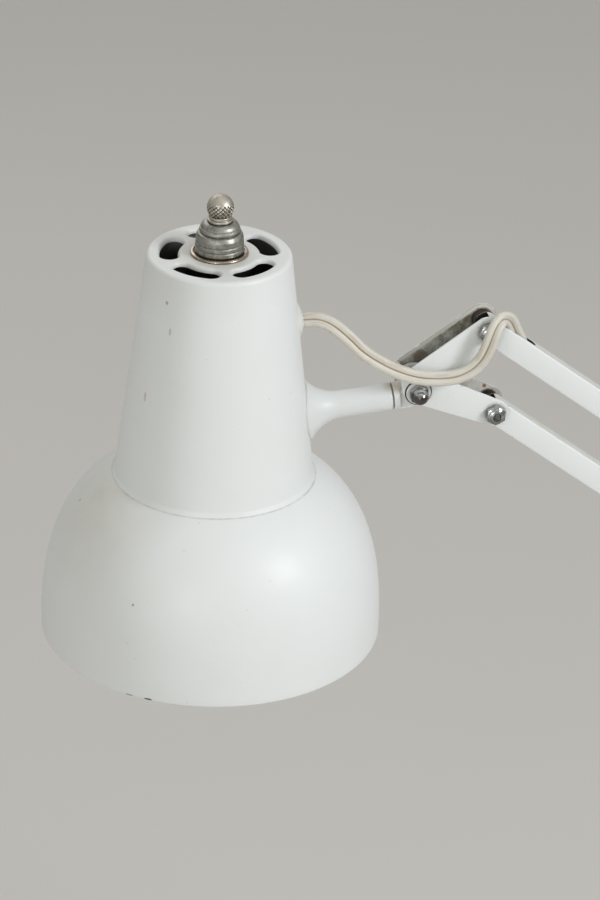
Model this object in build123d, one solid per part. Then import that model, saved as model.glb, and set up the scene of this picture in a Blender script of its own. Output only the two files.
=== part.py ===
from build123d import *
import math
import os

# A spring balanced task lamp: weighted foot, swivelling turret, two parallel arm pairs and a vented head.
# Millimetres, +Z up. The origin is the centre of the foot's underside, X lies in the arm plane with the
# head at -X, and Y points away from the viewer.

# Foot and swivel
FOOT_R = 100.0
FOOT_EDGE_H = 12.0
FOOT_CROWN_Z = 27.0
FOOT_BOSS_R = 18.0
FOOT_BOSS_Z = 44.0
FOOT_EDGE_ROUND = 3.0
FELT_T = 2.0
FELT_INSET = 5.0
DUCT_W = 9.0
DUCT_H = 10.0
BUSH_WALL = 2.5
BUSH_FLANGE_R = 13.0
BUSH_FLANGE_T = 2.0
BUSH_BOTTOM_Z = 20.0
POST_R = 6.95
POST_BORE_R = 4.5
POST_BOTTOM_Z = 13.0
POST_COLLAR_R = 11.0
POST_COLLAR_T = 4.0
CLIP_T = 1.6
CLIP_RIM = 3.0
GLAND_Z = 7.0
GLAND_LENGTH = 25.0
GLAND_FLANGE_R = 6.0
GLAND_FLANGE_T = 2.5
GLAND_TIP_R = 3.6
GLAND_STEM = 12.0

# Arm bars: rectangular tubes with round ends
ARM_LENGTH = 420.0
BAR_DEPTH = 12.0
BAR_WIDTH = 8.6
BAR_WALL = 0.8
BAR_EDGE = 0.7
BAR_SLEEVE_R = 4.4
LOWER_ANGLE = 65.0
UPPER_ANGLE = 143.2
SLOT_LENGTH = 12.5
SLOT_WIDTH = 4.2
SLOT_AT = 24.3
HEAD_SLOT_AT = 20.4

# Bolts, nuts and fits
BOLT_R = 2.95
BOLT_HEAD_H = 4.0
NUT_AF = 10.0
NUT_H = 4.0
TILT_BOLT_R = 2.45
TILT_NUT_AF = 9.0
TILT_NUT_H = 4.0
TILT_DOME_H = 4.2
TILT_WASHER_R = 6.2
TILT_WASHER_T = 1.0
WASHER_R = 5.2
RUNNING_FIT = 0.05
SEAT_GAP = 0.05

# Turret and elbow plates
PLATE_T = 1.5
PLATE_EDGE = 0.35
PLATE_GAP = 0.5
PIVOT_SPACING = 44.0
TURRET_PIVOT_Z = 92.0
TURRET_FLOOR_Z = 50.0
TURRET_FLOOR_T = 2.0
TURRET_FOOT_X = 15.0
TURRET_EYE_R = 8.5
ELBOW_EYE_R = 9.0
ELBOW_RISE = 32.4
ELBOW_SHIFT = 2.5

# Springs
SPRING_PIN_R = 2.0
SPRING_PIN_HEAD_R = 3.2
SPRING_PIN_HEAD_T = 0.9
SPRING_PIN_EYE_R = 6.0
SPRING_Y = 12.8
LOWER_SPRING_RISE = 22.0
UPPER_SPRING_RISE = 22.0
LOWER_SPRING_AT = 200.0
UPPER_SPRING_AT = 180.0
WIRE_R = 0.6
COIL_R = 5.2
COIL_TURNS = 24
COIL_PITCH = 3.6
COIL_START = 12.0
ANCHOR_LENGTH = 14.0
ANCHOR_NECK_R = 1.4
EYE_WIDTH = 3.0
EYE_RIM = 1.7
ROD_R = 1.0
ROD_TO_ANCHOR = 20.0

# Head bracket, measured from the tilt pivot
HEAD_PIVOT_UPPER = (32.65, 30.5)
HEAD_PIVOT_LOWER = (38.45, -13.6)
BRACKET_T = 1.3
BRACKET_REAR_GAP = 4.6
BRACKET_TILT_AT = (0.6, 2.4)
BRACKET_TILT_R = 8.6
BRACKET_UPPER_R = 7.4
BRACKET_LOWER_R = 6.9
BRACKET_CORNER = (-3.6, 7.0)
BRACKET_CORNER_R = 4.9
BRACKET_NOTCH_R = 3.0
WEB_FROM = 110.0
WEB_TO = 170.0

# Head, measured on its own axis above the shade's rim
TILT_FROM_AXIS = 97.25
TILT_ABOVE_BASE = 39.8
SHADE_R = 82.5
SHADE_SPAN = 93.1
SHADE_DROP = 0.84
SHADE_POWER = 2.696
SHADE_WALL = 0.9
RIM_BEAD_R = 1.1
COLLAR_H = 11.0
HOUSING_R = 47.9
HOUSING_SINK = 1.12
HOUSING_ANGLE = 6.78
HOUSING_H = 115.8
HOUSING_WALL = 1.0
HOUSING_SHOULDER = 6.5
HOUSING_LIP = 1.5
HOUSING_LIP_H = 4.0
VENT_COUNT = 5
VENT_FIRST = 34.0
VENT_MEAN_R = 23.8
VENT_WIDTH = 8.6
VENT_SWEEP = 35.0
VENT_EDGE = 0.45
NECK_R = 5.85
NECK_AXIS_DROP = 2.6
NECK_ANGLE = 6.2
NECK_GAP_AT = 12.6
NECK_GAP = 0.6
NECK_FLARE_R = 14.4
NECK_FLARE_FROM = 36.5
NECK_FLARE_TO = 50.5
SPIGOT_R = 4.4
SPIGOT_LENGTH = 14.0
COLLAR_AT = 9.2
TONGUE_R = 5.0
TONGUE_END_R = 5.9
TONGUE_FLANGE_R = 8.9
TONGUE_FLANGE_T = 2.2
NECK_SCREW_R = 1.7
NECK_SCREW_HEAD_R = 3.2
NECK_SCREW_HEAD_H = 1.8
NECK_SCREW_DEPTH = 5.0
NECK_SCREW_SPREAD = 8.5
CORD_BUSH_ABOVE_BASE = 79.5
CORD_BUSH_R = 9.2
CORD_BUSH_H = 3.6
CORD_BUSH_STEM_R = 4.0
CORD_BUSH_FLANGE_R = 6.0
CORD_BUSH_FLANGE_T = 1.2

# Switch, lampholder and bulb
CAP_WASHER_R = 14.0
CAP_WASHER_T = 1.2
CAP_NUT_STEPS = ((12.1, 0.0), (12.4, 1.6), (11.7, 6.6), (9.6, 8.4), (9.1, 9.4), (7.5, 15.0))
CAP_NUT_GROOVE_Z = 3.6
CAP_NUT_GROOVE = 0.5
SWITCH_BUSHING_R = 5.0
SWITCH_BUSHING_WALL = 1.95
SWITCH_BUSHING_TOP = 16.6
KNOB_SKIRT_R = 6.0
KNOB_SKIRT_H = 3.4
KNOB_BALL_R = 6.4
KNOB_TOP = 29.5
SPINDLE_DEPTH = 10.0
SWITCH_BODY_R = 15.5
SWITCH_BODY_H = 29.0
HOLDER_R = 19.5
HOLDER_H = 42.0
HOLDER_SHOULDER = 5.0
HOLDER_WALL = 3.5
SHELL_R = 14.4
SHELL_WALL = 0.6
SHELL_H = 26.0
BULB_CAP_R = 13.3
BULB_CAP_H = 25.0
BULB_NECK_R = 14.2
BULB_R = 30.0
BULB_LENGTH = 82.0
BULB_WALL = 0.9

# Cord, a flat twin flex drawn here as a plain round of the same run
CORD_R = 2.5
CORD_PITCH = 7.6
COIL_MEAN_R = 38.5
COIL_LAYER_TURNS = 2.5
COIL_CENTRE = (-172.0, 62.0)
COIL_FROM = 135.0
COIL_LAYER_Z = 5.6
TIE_T = 0.9
TIE_WIDTH = 4.0
TIE_CLEAR = 0.4
TIE_AT = 20.0
FLOOR_GAP = 0.1
TAIL_LENGTH = 30.0
PLUG_LENGTH = 34.0
PLUG_WIDTH = 27.0
PLUG_NOSE = 13.0
PLUG_HEIGHT = 16.0
PLUG_ROUND = 4.5
PLUG_RELIEF_LENGTH = 12.0
PLUG_PIN_R = 2.0
PLUG_PIN_LENGTH = 19.0
PLUG_PIN_SPACING = 18.6


# Places that follow from the sizes above, all in the arm plane as (x, z)
def add(a, b):
    return (a[0] + b[0], a[1] + b[1])


def minus(a, b):
    return (a[0] - b[0], a[1] - b[1])


def polar(length, degrees):
    return (length * math.cos(math.radians(degrees)), length * math.sin(math.radians(degrees)))


def shade_height(at_r):
    """The height of the shade's outer skin at a radius."""
    return SHADE_SPAN * (1 - (at_r / SHADE_R) ** SHADE_POWER) ** (1 / SHADE_POWER) - SHADE_DROP


# The housing stands on the shade, so the heights of the head follow from the shade's own height
HOUSING_BASE_Z = shade_height(HOUSING_R) - HOUSING_SINK
HOUSING_TOP_Z = HOUSING_BASE_Z + HOUSING_H
TILT_ABOVE_RIM = HOUSING_BASE_Z + TILT_ABOVE_BASE
CORD_BUSH_Z = HOUSING_BASE_Z + CORD_BUSH_ABOVE_BASE
PIVOT_A = (-PIVOT_SPACING / 2, TURRET_PIVOT_Z)
PIVOT_B = (PIVOT_SPACING / 2, TURRET_PIVOT_Z)
ELBOW_A = add(PIVOT_A, polar(ARM_LENGTH, LOWER_ANGLE))
ELBOW_B = add(PIVOT_B, polar(ARM_LENGTH, LOWER_ANGLE))
ELBOW_V = add(ELBOW_A, (PIVOT_SPACING / 2 + ELBOW_SHIFT, ELBOW_RISE))
ELBOW_U = add(ELBOW_V, minus(HEAD_PIVOT_UPPER, HEAD_PIVOT_LOWER))
HEAD_U = add(ELBOW_U, polar(ARM_LENGTH, UPPER_ANGLE))
HEAD_V = add(ELBOW_V, polar(ARM_LENGTH, UPPER_ANGLE))
TILT = minus(HEAD_U, HEAD_PIVOT_UPPER)
HEAD_X = TILT[0] - TILT_FROM_AXIS
RIM_Z = TILT[1] - TILT_ABOVE_RIM
LOWER_PIN = add(PIVOT_A, (0, LOWER_SPRING_RISE))
LOWER_HOOK = add(PIVOT_A, polar(LOWER_SPRING_AT, LOWER_ANGLE))
UPPER_PIN = add(ELBOW_U, (0, UPPER_SPRING_RISE))
UPPER_HOOK = add(ELBOW_U, polar(UPPER_SPRING_AT, UPPER_ANGLE))
PLATE_IN = BAR_WIDTH / 2 + PLATE_GAP
PLATE_OUT = PLATE_IN + PLATE_T
BRACKET_FRONT_IN = -PLATE_IN
BRACKET_FRONT_OUT = BRACKET_FRONT_IN - BRACKET_T
BRACKET_REAR_IN = BAR_WIDTH / 2 + BRACKET_REAR_GAP
BRACKET_REAR_OUT = BRACKET_REAR_IN + BRACKET_T
NECK_ORIGIN = add(TILT, polar(NECK_AXIS_DROP, NECK_ANGLE - 90))
HEAD = Pos(HEAD_X, 0, RIM_Z)
# The neck's own frame: local +Z runs along the neck from the tilt pivot into the head
NECK = Pos(NECK_ORIGIN[0], 0, NECK_ORIGIN[1]) * Rot(0, -90 - NECK_ANGLE, 0)


# Small makers
def slab(sketch, y_from, y_to):
    """A flat piece in the arm plane, drawn as (x, z), between two depths."""
    plane = Plane((0, y_to, 0), x_dir=(1, 0, 0), z_dir=(0, -1, 0))
    return extrude(plane * sketch, y_to - y_from)


def disc(at, radius, y_from, y_to):
    return slab(Pos(*at) * Circle(radius), y_from, y_to)


def washer(at, radius, hole, y_from, y_to):
    return slab(Pos(*at) * (Circle(radius) - Circle(hole)), y_from, y_to)


def hexagon(at, across_flats, y_from, y_to, hole):
    shape = RegularPolygon(across_flats / 2, 6, major_radius=False) - Circle(hole)
    return slab(Pos(*at) * shape, y_from, y_to)


def capsule(a, radius_a, b, radius_b):
    """Two circles and their common tangents."""
    gap = math.dist(a, b)
    along = math.degrees(math.atan2(b[1] - a[1], b[0] - a[0]))
    lean = math.degrees(math.acos((radius_a - radius_b) / gap))
    corners = [
        add(a, polar(radius_a, along + lean)),
        add(a, polar(radius_a, along - lean)),
        add(b, polar(radius_b, along - lean)),
        add(b, polar(radius_b, along + lean)),
    ]
    blank = make_face(Polyline(*corners, close=True))
    return blank + Pos(*a) * Circle(radius_a) + Pos(*b) * Circle(radius_b)


def turned(points):
    """A solid turned about Z from an outline of (radius, height)."""
    outline = Polyline(*[(r, 0, z) for r, z in points], close=True)
    return revolve(make_face(outline), Axis.Z)


def outer_edges(solid, y):
    return [e for e in solid.edges() if abs(e.center().Y - y) < 1e-4 and e.bounding_box().size.Y < 1e-4]


def softened(solid, y, radius):
    return fillet(outer_edges(solid, y), radius)


def write(name, *solids):
    shapes = [s for piece in solids for s in piece.solids()]
    export_step(shapes[0] if len(shapes) == 1 else Compound(shapes), f"parts/{name}.step")


# Foot and swivel
def foot():
    bush_r = POST_R + RUNNING_FIT + BUSH_WALL
    well_r = POST_R + CLIP_RIM + 1.5
    edge_z = FELT_T + FOOT_EDGE_H
    with BuildSketch(Plane.XZ) as profile:
        with BuildLine():
            Line((well_r, FELT_T), (FOOT_R - FOOT_EDGE_ROUND, FELT_T))
            RadiusArc(
                (FOOT_R - FOOT_EDGE_ROUND, FELT_T),
                (FOOT_R, FELT_T + FOOT_EDGE_ROUND),
                -FOOT_EDGE_ROUND,
            )
            Line((FOOT_R, FELT_T + FOOT_EDGE_ROUND), (FOOT_R, edge_z))
            crown_r = FOOT_BOSS_R + 8
            Spline(
                (FOOT_R, edge_z),
                (crown_r, FOOT_CROWN_Z),
                tangents=((-0.25, 1), (-1, 0.12)),
            )
            TangentArc((crown_r, FOOT_CROWN_Z), (FOOT_BOSS_R, FOOT_CROWN_Z + 8), tangent=(-1, 0.12))
            Line((FOOT_BOSS_R, FOOT_CROWN_Z + 8), (FOOT_BOSS_R, FOOT_BOSS_Z))
            Line((FOOT_BOSS_R, FOOT_BOSS_Z), (bush_r + SEAT_GAP, FOOT_BOSS_Z))
            Line((bush_r + SEAT_GAP, FOOT_BOSS_Z), (bush_r + SEAT_GAP, BUSH_BOTTOM_Z))
            Line((bush_r + SEAT_GAP, BUSH_BOTTOM_Z), (well_r, BUSH_BOTTOM_Z))
            Line((well_r, BUSH_BOTTOM_Z), (well_r, FELT_T))
        make_face()
    casting = revolve(profile.sketch, Axis.Z)
    duct = Box(DUCT_W, FOOT_R + 1, DUCT_H, align=(Align.CENTER, Align.MIN, Align.MIN))
    casting -= Pos(0, 0, FELT_T) * duct
    felt = Cylinder(FOOT_R - FELT_INSET, FELT_T, align=(Align.CENTER, Align.CENTER, Align.MIN))
    bush = turned([
        (POST_R + RUNNING_FIT, BUSH_BOTTOM_Z),
        (bush_r, BUSH_BOTTOM_Z),
        (bush_r, FOOT_BOSS_Z),
        (BUSH_FLANGE_R, FOOT_BOSS_Z),
        (BUSH_FLANGE_R, FOOT_BOSS_Z + BUSH_FLANGE_T),
        (POST_R + RUNNING_FIT, FOOT_BOSS_Z + BUSH_FLANGE_T),
    ])
    stem_r = DUCT_W / 2 - 0.3
    gland = turned([
        (0, -GLAND_STEM),
        (stem_r, -GLAND_STEM),
        (stem_r, SEAT_GAP),
        (GLAND_FLANGE_R, SEAT_GAP),
        (GLAND_FLANGE_R, GLAND_FLANGE_T),
        (GLAND_FLANGE_R - 1, GLAND_FLANGE_T),
        (GLAND_TIP_R, GLAND_LENGTH),
        (0, GLAND_LENGTH),
    ])
    gland = Pos(0, FOOT_R, GLAND_Z) * Rot(-90, 0, 0) * gland
    return casting, felt, bush, gland


def swivel_post():
    collar_z = FOOT_BOSS_Z + BUSH_FLANGE_T + RUNNING_FIT
    post = turned([
        (POST_BORE_R, POST_BOTTOM_Z),
        (POST_R, POST_BOTTOM_Z),
        (POST_R, collar_z),
        (POST_COLLAR_R, collar_z),
        (POST_COLLAR_R, TURRET_FLOOR_Z),
        (POST_BORE_R, TURRET_FLOOR_Z),
    ])
    clip_z = BUSH_BOTTOM_Z - RUNNING_FIT - CLIP_T
    clip = turned([
        (POST_R, clip_z),
        (POST_R + CLIP_RIM, clip_z),
        (POST_R + CLIP_RIM, clip_z + CLIP_T),
        (POST_R, clip_z + CLIP_T),
    ])
    return post, clip


# Bolted pivots: a hex bolt from behind, a nut in front and thin washers beside each bar
def pivot_set(at, front_out, rear_out):
    bolt = disc(at, BOLT_R, front_out - NUT_H - 1, rear_out)
    bolt += hexagon(at, NUT_AF, rear_out, rear_out + BOLT_HEAD_H, 0.01 + BOLT_R / 2) + disc(
        at, BOLT_R / 2 + 0.5, rear_out, rear_out + BOLT_HEAD_H
    )
    nut = hexagon(at, NUT_AF, front_out - NUT_H, front_out, BOLT_R + SEAT_GAP)
    corner = Pos(at[0], front_out - NUT_H, at[1]) * Rot(90, 0, 0)
    cone_r = NUT_AF / 2
    nut &= corner * Pos(0, 0, -NUT_H) * Cone(
        cone_r + 2.0 * NUT_H, cone_r, NUT_H, align=(Align.CENTER, Align.CENTER, Align.MIN)
    )
    return bolt, nut


def bar_washers(at, inner_y):
    half = BAR_WIDTH / 2 + SEAT_GAP
    front = washer(at, WASHER_R, BOLT_R + SEAT_GAP, -inner_y, -half)
    rear = washer(at, WASHER_R, BOLT_R + SEAT_GAP, half, inner_y)
    return [front, rear]


# Arm bars
def arm_bar(start, angle, slots=(), pin_at=None):
    """A closed rectangular tube with round ends. Each slot is (distance from start, side)."""
    half = BAR_WIDTH / 2
    middle = Pos(ARM_LENGTH / 2, 0)
    outline = middle * SlotCenterToCenter(ARM_LENGTH, BAR_DEPTH)
    bar = slab(outline, -half, half)
    bar = softened(bar, -half, BAR_EDGE)
    bar = softened(bar, half, BAR_EDGE)
    hollow = middle * SlotCenterToCenter(ARM_LENGTH, BAR_DEPTH - 2 * BAR_WALL)
    bar -= slab(hollow, BAR_WALL - half, half - BAR_WALL)
    for end in ((0, 0), (ARM_LENGTH, 0)):
        bar += disc(end, BAR_SLEEVE_R, -half, half)
        bar -= disc(end, BOLT_R + RUNNING_FIT, -half, half)
    for at, side in slots:
        cut = extrude(SlotOverall(SLOT_LENGTH, SLOT_WIDTH), BAR_WALL * 2, both=True)
        bar -= Pos(at, 0, side * BAR_DEPTH / 2) * cut
    if pin_at is not None:
        bar -= disc((pin_at, 0), SPRING_PIN_R + SEAT_GAP, -half, half)
    return Pos(start[0], 0, start[1]) * Rot(0, -angle, 0) * bar


# Springs: an anchor and a wound coil at the bar, a drawbar that slides in the coil at the pin
def helix_wire():
    """The coil's centre line along +X, as two arcs for each half turn, with a straight run at each end."""
    rise = COIL_PITCH / (2 * math.pi)

    def place(turn):
        return Vector(COIL_START + rise * turn, COIL_R * math.cos(turn), COIL_R * math.sin(turn))

    def heading(turn):
        return Vector(rise, -COIL_R * math.sin(turn), COIL_R * math.cos(turn)).normalized()

    edges = []
    first, last = 0.0, 2 * math.pi * COIL_TURNS
    edges.append(Edge.make_line(place(first) - heading(first) * 2 * WIRE_R, place(first)))
    for half in range(2 * COIL_TURNS):
        edges += biarc(
            place(half * math.pi), heading(half * math.pi), place((half + 1) * math.pi), heading((half + 1) * math.pi)
        )
    edges.append(Edge.make_line(place(last), place(last) + heading(last) * 2 * WIRE_R))
    return Wire(edges)


def biarc(start, start_way, end, end_way):
    """Two tangent arcs from one point and heading to another."""
    across = end - start
    both = start_way + end_way
    part = across.dot(both)
    bend = 2 * (1 - start_way.dot(end_way))
    reach = (-part + math.sqrt(part * part + bend * across.dot(across))) / bend
    middle = (start + end + (start_way - end_way) * reach) * 0.5
    chord = (middle - start).normalized()
    middle_way = chord * (2 * start_way.dot(chord)) - start_way
    return [Edge.make_tangent_arc(start, start_way, middle), Edge.make_tangent_arc(middle, middle_way, end)]


def wound(wire, radius):
    section = Plane(wire.position_at(0), z_dir=wire.tangent_at(0)) * Circle(radius)
    return sweep(section, path=wire)


def spring_coil():
    wire = helix_wire()
    coil = wound(wire, WIRE_R)
    print("spring gap to itself", round(COIL_PITCH - 2 * WIRE_R, 2), "volume ratio",
          round(coil.volume / (math.pi * WIRE_R ** 2 * wire.length), 3))
    return coil


def spring_anchor():
    eye_r = SPRING_PIN_R + RUNNING_FIT + EYE_RIM
    half = EYE_WIDTH / 2
    body = disc((0, 0), eye_r, -half, half)
    body += Pos(eye_r - 1, 0, 0) * Rot(0, 90, 0) * Cylinder(
        ANCHOR_NECK_R, COIL_START - eye_r + 1, align=(Align.CENTER, Align.CENTER, Align.MIN)
    )
    plug_r = COIL_R - WIRE_R - SEAT_GAP
    body += Pos(COIL_START - 1, 0, 0) * Rot(0, 90, 0) * Cylinder(
        plug_r, ANCHOR_LENGTH, align=(Align.CENTER, Align.CENTER, Align.MIN)
    )
    return body - disc((0, 0), SPRING_PIN_R + RUNNING_FIT, -half, half)


def spring_rod(length):
    eye_r = SPRING_PIN_R + RUNNING_FIT + EYE_RIM
    half = EYE_WIDTH / 2
    rod = disc((0, 0), eye_r, -half, half)
    rod += Pos(eye_r - 0.8, 0, 0) * Rot(0, 90, 0) * Cylinder(
        ROD_R, length - eye_r + 0.8, align=(Align.CENTER, Align.CENTER, Align.MIN)
    )
    return rod - disc((0, 0), SPRING_PIN_R + RUNNING_FIT, -half, half)


def rod_length(pivot, pin, hook_at, angle, low, high):
    """The longest drawbar that stays off the anchor over the arm's whole swing."""
    spans = []
    steps = 12
    for step in range(steps + 1):
        swing = angle - (low + (high - low) * step / steps)
        spans.append(math.dist(pin, add(pivot, polar(hook_at, swing))))
    return min(spans) - COIL_START - ANCHOR_LENGTH - ROD_TO_ANCHOR / 5


LOWER_SWING = (-40.0, 35.0)
UPPER_SWING = (-45.0, 20.0)


def spring_pair(pin, hook, length):
    """Both springs of one arm, one each side of it."""
    along = math.degrees(math.atan2(hook[1] - pin[1], hook[0] - pin[0]))
    coil, anchor, rod = spring_coil(), spring_anchor(), spring_rod(length)
    coils, anchors, rods = [], [], []
    for y in (-SPRING_Y, SPRING_Y):
        at_hook = Pos(hook[0], y, hook[1]) * Rot(0, 180 - along, 0)
        at_pin = Pos(pin[0], y, pin[1]) * Rot(0, -along, 0)
        coils.append(at_hook * coil)
        anchors.append(at_hook * anchor)
        rods.append(at_pin * rod)
    return coils, anchors, rods


def stub_pins(at):
    """Riveted stub pins on the outside of both plates."""
    pins = []
    end = SPRING_Y + EYE_WIDTH / 2 + RUNNING_FIT
    for side in (-1, 1):
        span = sorted((side * PLATE_IN, side * (end + SPRING_PIN_HEAD_T)))
        head = sorted((side * end, side * (end + SPRING_PIN_HEAD_T)))
        collar = sorted((side * PLATE_OUT, side * (SPRING_Y - EYE_WIDTH / 2 - RUNNING_FIT)))
        pin = disc(at, SPRING_PIN_R, *span) + disc(at, SPRING_PIN_HEAD_R, *head)
        pins.append(pin + disc(at, SPRING_PIN_HEAD_R, *collar))
    return pins


def through_pin(at):
    end = SPRING_Y + EYE_WIDTH / 2 + RUNNING_FIT
    pin = disc(at, SPRING_PIN_R, -end - SPRING_PIN_HEAD_T, end + SPRING_PIN_HEAD_T)
    for side in (-1, 1):
        head = sorted((side * end, side * (end + SPRING_PIN_HEAD_T)))
        sleeve = sorted((side * (BAR_WIDTH / 2 + SEAT_GAP), side * (SPRING_Y - EYE_WIDTH / 2 - RUNNING_FIT)))
        pin += disc(at, SPRING_PIN_HEAD_R, *head) + disc(at, SPRING_PIN_HEAD_R, *sleeve)
    return pin


# Plates
def drilled(outline, holes):
    for at, radius in holes:
        outline -= Pos(*at) * Circle(radius)
    return outline


def turret_bracket():
    left, right = (-TURRET_FOOT_X, TURRET_FLOOR_Z + 6), (TURRET_FOOT_X, TURRET_FLOOR_Z + 6)
    outline = capsule(PIVOT_A, TURRET_EYE_R, PIVOT_B, TURRET_EYE_R)
    outline += capsule(PIVOT_A, TURRET_EYE_R, left, 6) + capsule(PIVOT_B, TURRET_EYE_R, right, 6)
    outline += make_face(Polyline(PIVOT_A, PIVOT_B, right, left, close=True))
    outline += capsule(left, 6, right, 6)
    outline += capsule(PIVOT_A, TURRET_EYE_R, LOWER_PIN, SPRING_PIN_EYE_R)
    outline = drilled(outline, [
        (PIVOT_A, BOLT_R + SEAT_GAP),
        (PIVOT_B, BOLT_R + SEAT_GAP),
        (LOWER_PIN, SPRING_PIN_R + SEAT_GAP),
    ])
    cheeks = []
    for side in (-1, 1):
        cheek = slab(outline, *sorted((side * PLATE_IN, side * PLATE_OUT)))
        cheeks.append(softened(cheek, side * PLATE_OUT, PLATE_EDGE))
    floor = Pos(0, 0, TURRET_FLOOR_Z) * Box(
        2 * TURRET_FOOT_X + 4, 2 * PLATE_OUT - 0.8, TURRET_FLOOR_T, align=(Align.CENTER, Align.CENTER, Align.MIN)
    )
    plate = Pos(0, 0, TURRET_FLOOR_Z) * Cylinder(
        POST_COLLAR_R + 2, TURRET_FLOOR_T, align=(Align.CENTER, Align.CENTER, Align.MIN)
    )
    bracket = cheeks[0] + cheeks[1] + floor + plate
    return bracket - Pos(0, 0, TURRET_FLOOR_Z) * Cylinder(POST_BORE_R, 3 * TURRET_FLOOR_T)


def elbow_plates():
    outline = capsule(ELBOW_A, ELBOW_EYE_R, ELBOW_B, ELBOW_EYE_R)
    outline += capsule(ELBOW_A, ELBOW_EYE_R, ELBOW_V, ELBOW_EYE_R)
    outline += capsule(ELBOW_B, ELBOW_EYE_R, ELBOW_V, ELBOW_EYE_R)
    outline += make_face(Polyline(ELBOW_A, ELBOW_B, ELBOW_V, close=True))
    outline += capsule(ELBOW_V, ELBOW_EYE_R, ELBOW_U, ELBOW_EYE_R - 1)
    outline += capsule(ELBOW_U, ELBOW_EYE_R - 1, UPPER_PIN, SPRING_PIN_EYE_R)
    holes = [(at, BOLT_R + SEAT_GAP) for at in (ELBOW_A, ELBOW_B, ELBOW_U, ELBOW_V)]
    outline = drilled(outline, holes + [(UPPER_PIN, SPRING_PIN_R + SEAT_GAP)])
    front = softened(slab(outline, -PLATE_OUT, -PLATE_IN), -PLATE_OUT, PLATE_EDGE)
    rear = softened(slab(outline, PLATE_IN, PLATE_OUT), PLATE_OUT, PLATE_EDGE)
    return front, rear


# Head bracket: a folded sheet with two cheeks and a short web at its upper corner
def cheek_outline():
    corner, eye = add(TILT, BRACKET_CORNER), add(TILT, BRACKET_TILT_AT)
    outline = capsule(eye, BRACKET_TILT_R, HEAD_V, BRACKET_LOWER_R)
    outline += capsule(eye, BRACKET_TILT_R, HEAD_U, BRACKET_UPPER_R)
    outline += capsule(corner, BRACKET_CORNER_R, HEAD_U, BRACKET_UPPER_R)
    outline += capsule(eye, BRACKET_TILT_R, corner, BRACKET_CORNER_R)
    outline += make_face(Polyline(eye, HEAD_U, corner, close=True))
    return drilled(outline, [
        (TILT, TILT_BOLT_R + SEAT_GAP),
        (HEAD_U, BOLT_R + SEAT_GAP),
        (HEAD_V, BOLT_R + SEAT_GAP),
    ])


def head_bracket():
    corner = add(TILT, BRACKET_CORNER)
    front = slab(cheek_outline(), BRACKET_FRONT_OUT, BRACKET_FRONT_IN)
    front = softened(front, BRACKET_FRONT_OUT, PLATE_EDGE)
    rear = slab(cheek_outline(), BRACKET_REAR_IN, BRACKET_REAR_OUT)
    rear = softened(rear, BRACKET_REAR_OUT, PLATE_EDGE)
    ring = Circle(BRACKET_CORNER_R) - Circle(BRACKET_CORNER_R - BRACKET_T)
    reach = 3 * BRACKET_CORNER_R
    wedge = make_face(Polyline((0, 0), polar(reach, WEB_FROM), polar(reach, (WEB_FROM + WEB_TO) / 2),
                               polar(reach, WEB_TO), close=True))
    web = slab(Pos(*corner) * (ring & wedge), BRACKET_FRONT_IN, BRACKET_REAR_IN)
    return front + rear + web


def tilt_pivot():
    front, rear = BRACKET_FRONT_OUT - TILT_WASHER_T, BRACKET_REAR_OUT + TILT_WASHER_T
    washers = [
        washer(TILT, TILT_WASHER_R, TILT_BOLT_R + SEAT_GAP, front, BRACKET_FRONT_OUT),
        washer(TILT, TILT_WASHER_R, TILT_BOLT_R + SEAT_GAP, BRACKET_REAR_OUT, rear),
    ]
    bolt = disc(TILT, TILT_BOLT_R, front - TILT_NUT_H, rear)
    bolt += hexagon(TILT, TILT_NUT_AF, rear, rear + BOLT_HEAD_H, 0.5) + disc(TILT, 1, rear, rear + BOLT_HEAD_H)
    nut = hexagon(TILT, TILT_NUT_AF, front - TILT_NUT_H, front, TILT_BOLT_R + SEAT_GAP)
    dome_r = TILT_NUT_AF / 2 - 0.1
    dome = Pos(TILT[0], front - TILT_NUT_H, TILT[1]) * Rot(90, 0, 0) * dome_cap(dome_r, TILT_DOME_H)
    return washers, bolt, nut + dome


def dome_cap(radius, height):
    """A shallow dome standing on Z = 0."""
    sphere_r = (radius ** 2 + height ** 2) / (2 * height)
    ball = Pos(0, 0, height - sphere_r) * Sphere(sphere_r)
    return ball & Cylinder(radius, height, align=(Align.CENTER, Align.CENTER, Align.MIN))


def head_pivot_spacers():
    pieces = []
    for at in (HEAD_U, HEAD_V):
        half = BAR_WIDTH / 2 + SEAT_GAP
        pieces.append(washer(at, WASHER_R, BOLT_R + SEAT_GAP, BRACKET_FRONT_IN, -half))
        pieces.append(washer(at, WASHER_R - 0.4, BOLT_R + SEAT_GAP, half, BRACKET_REAR_IN))
    return pieces


def knuckle():
    front, rear = BRACKET_FRONT_IN + RUNNING_FIT, BRACKET_REAR_IN - RUNNING_FIT
    inner = add(NECK_ORIGIN, polar(COLLAR_AT + 1.5, NECK_ANGLE + 180))
    body = slab(capsule(TILT, TONGUE_END_R, inner, TONGUE_R), front, rear)
    collar_end = NECK_GAP_AT - NECK_GAP / 2
    body &= NECK * Cylinder(2 * NECK_R, 2 * collar_end) + disc(TILT, TONGUE_END_R, front, rear)
    body += disc(TILT, TONGUE_FLANGE_R, rear - TONGUE_FLANGE_T, rear)
    body += NECK * Pos(0, 0, COLLAR_AT) * Cylinder(
        NECK_R, collar_end - COLLAR_AT, align=(Align.CENTER, Align.CENTER, Align.MIN)
    )
    body += NECK * Pos(0, 0, COLLAR_AT) * Cylinder(
        SPIGOT_R, NECK_GAP_AT + SPIGOT_LENGTH - COLLAR_AT, align=(Align.CENTER, Align.CENTER, Align.MIN)
    )
    return body - disc(TILT, TILT_BOLT_R + RUNNING_FIT, front, rear)


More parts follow.
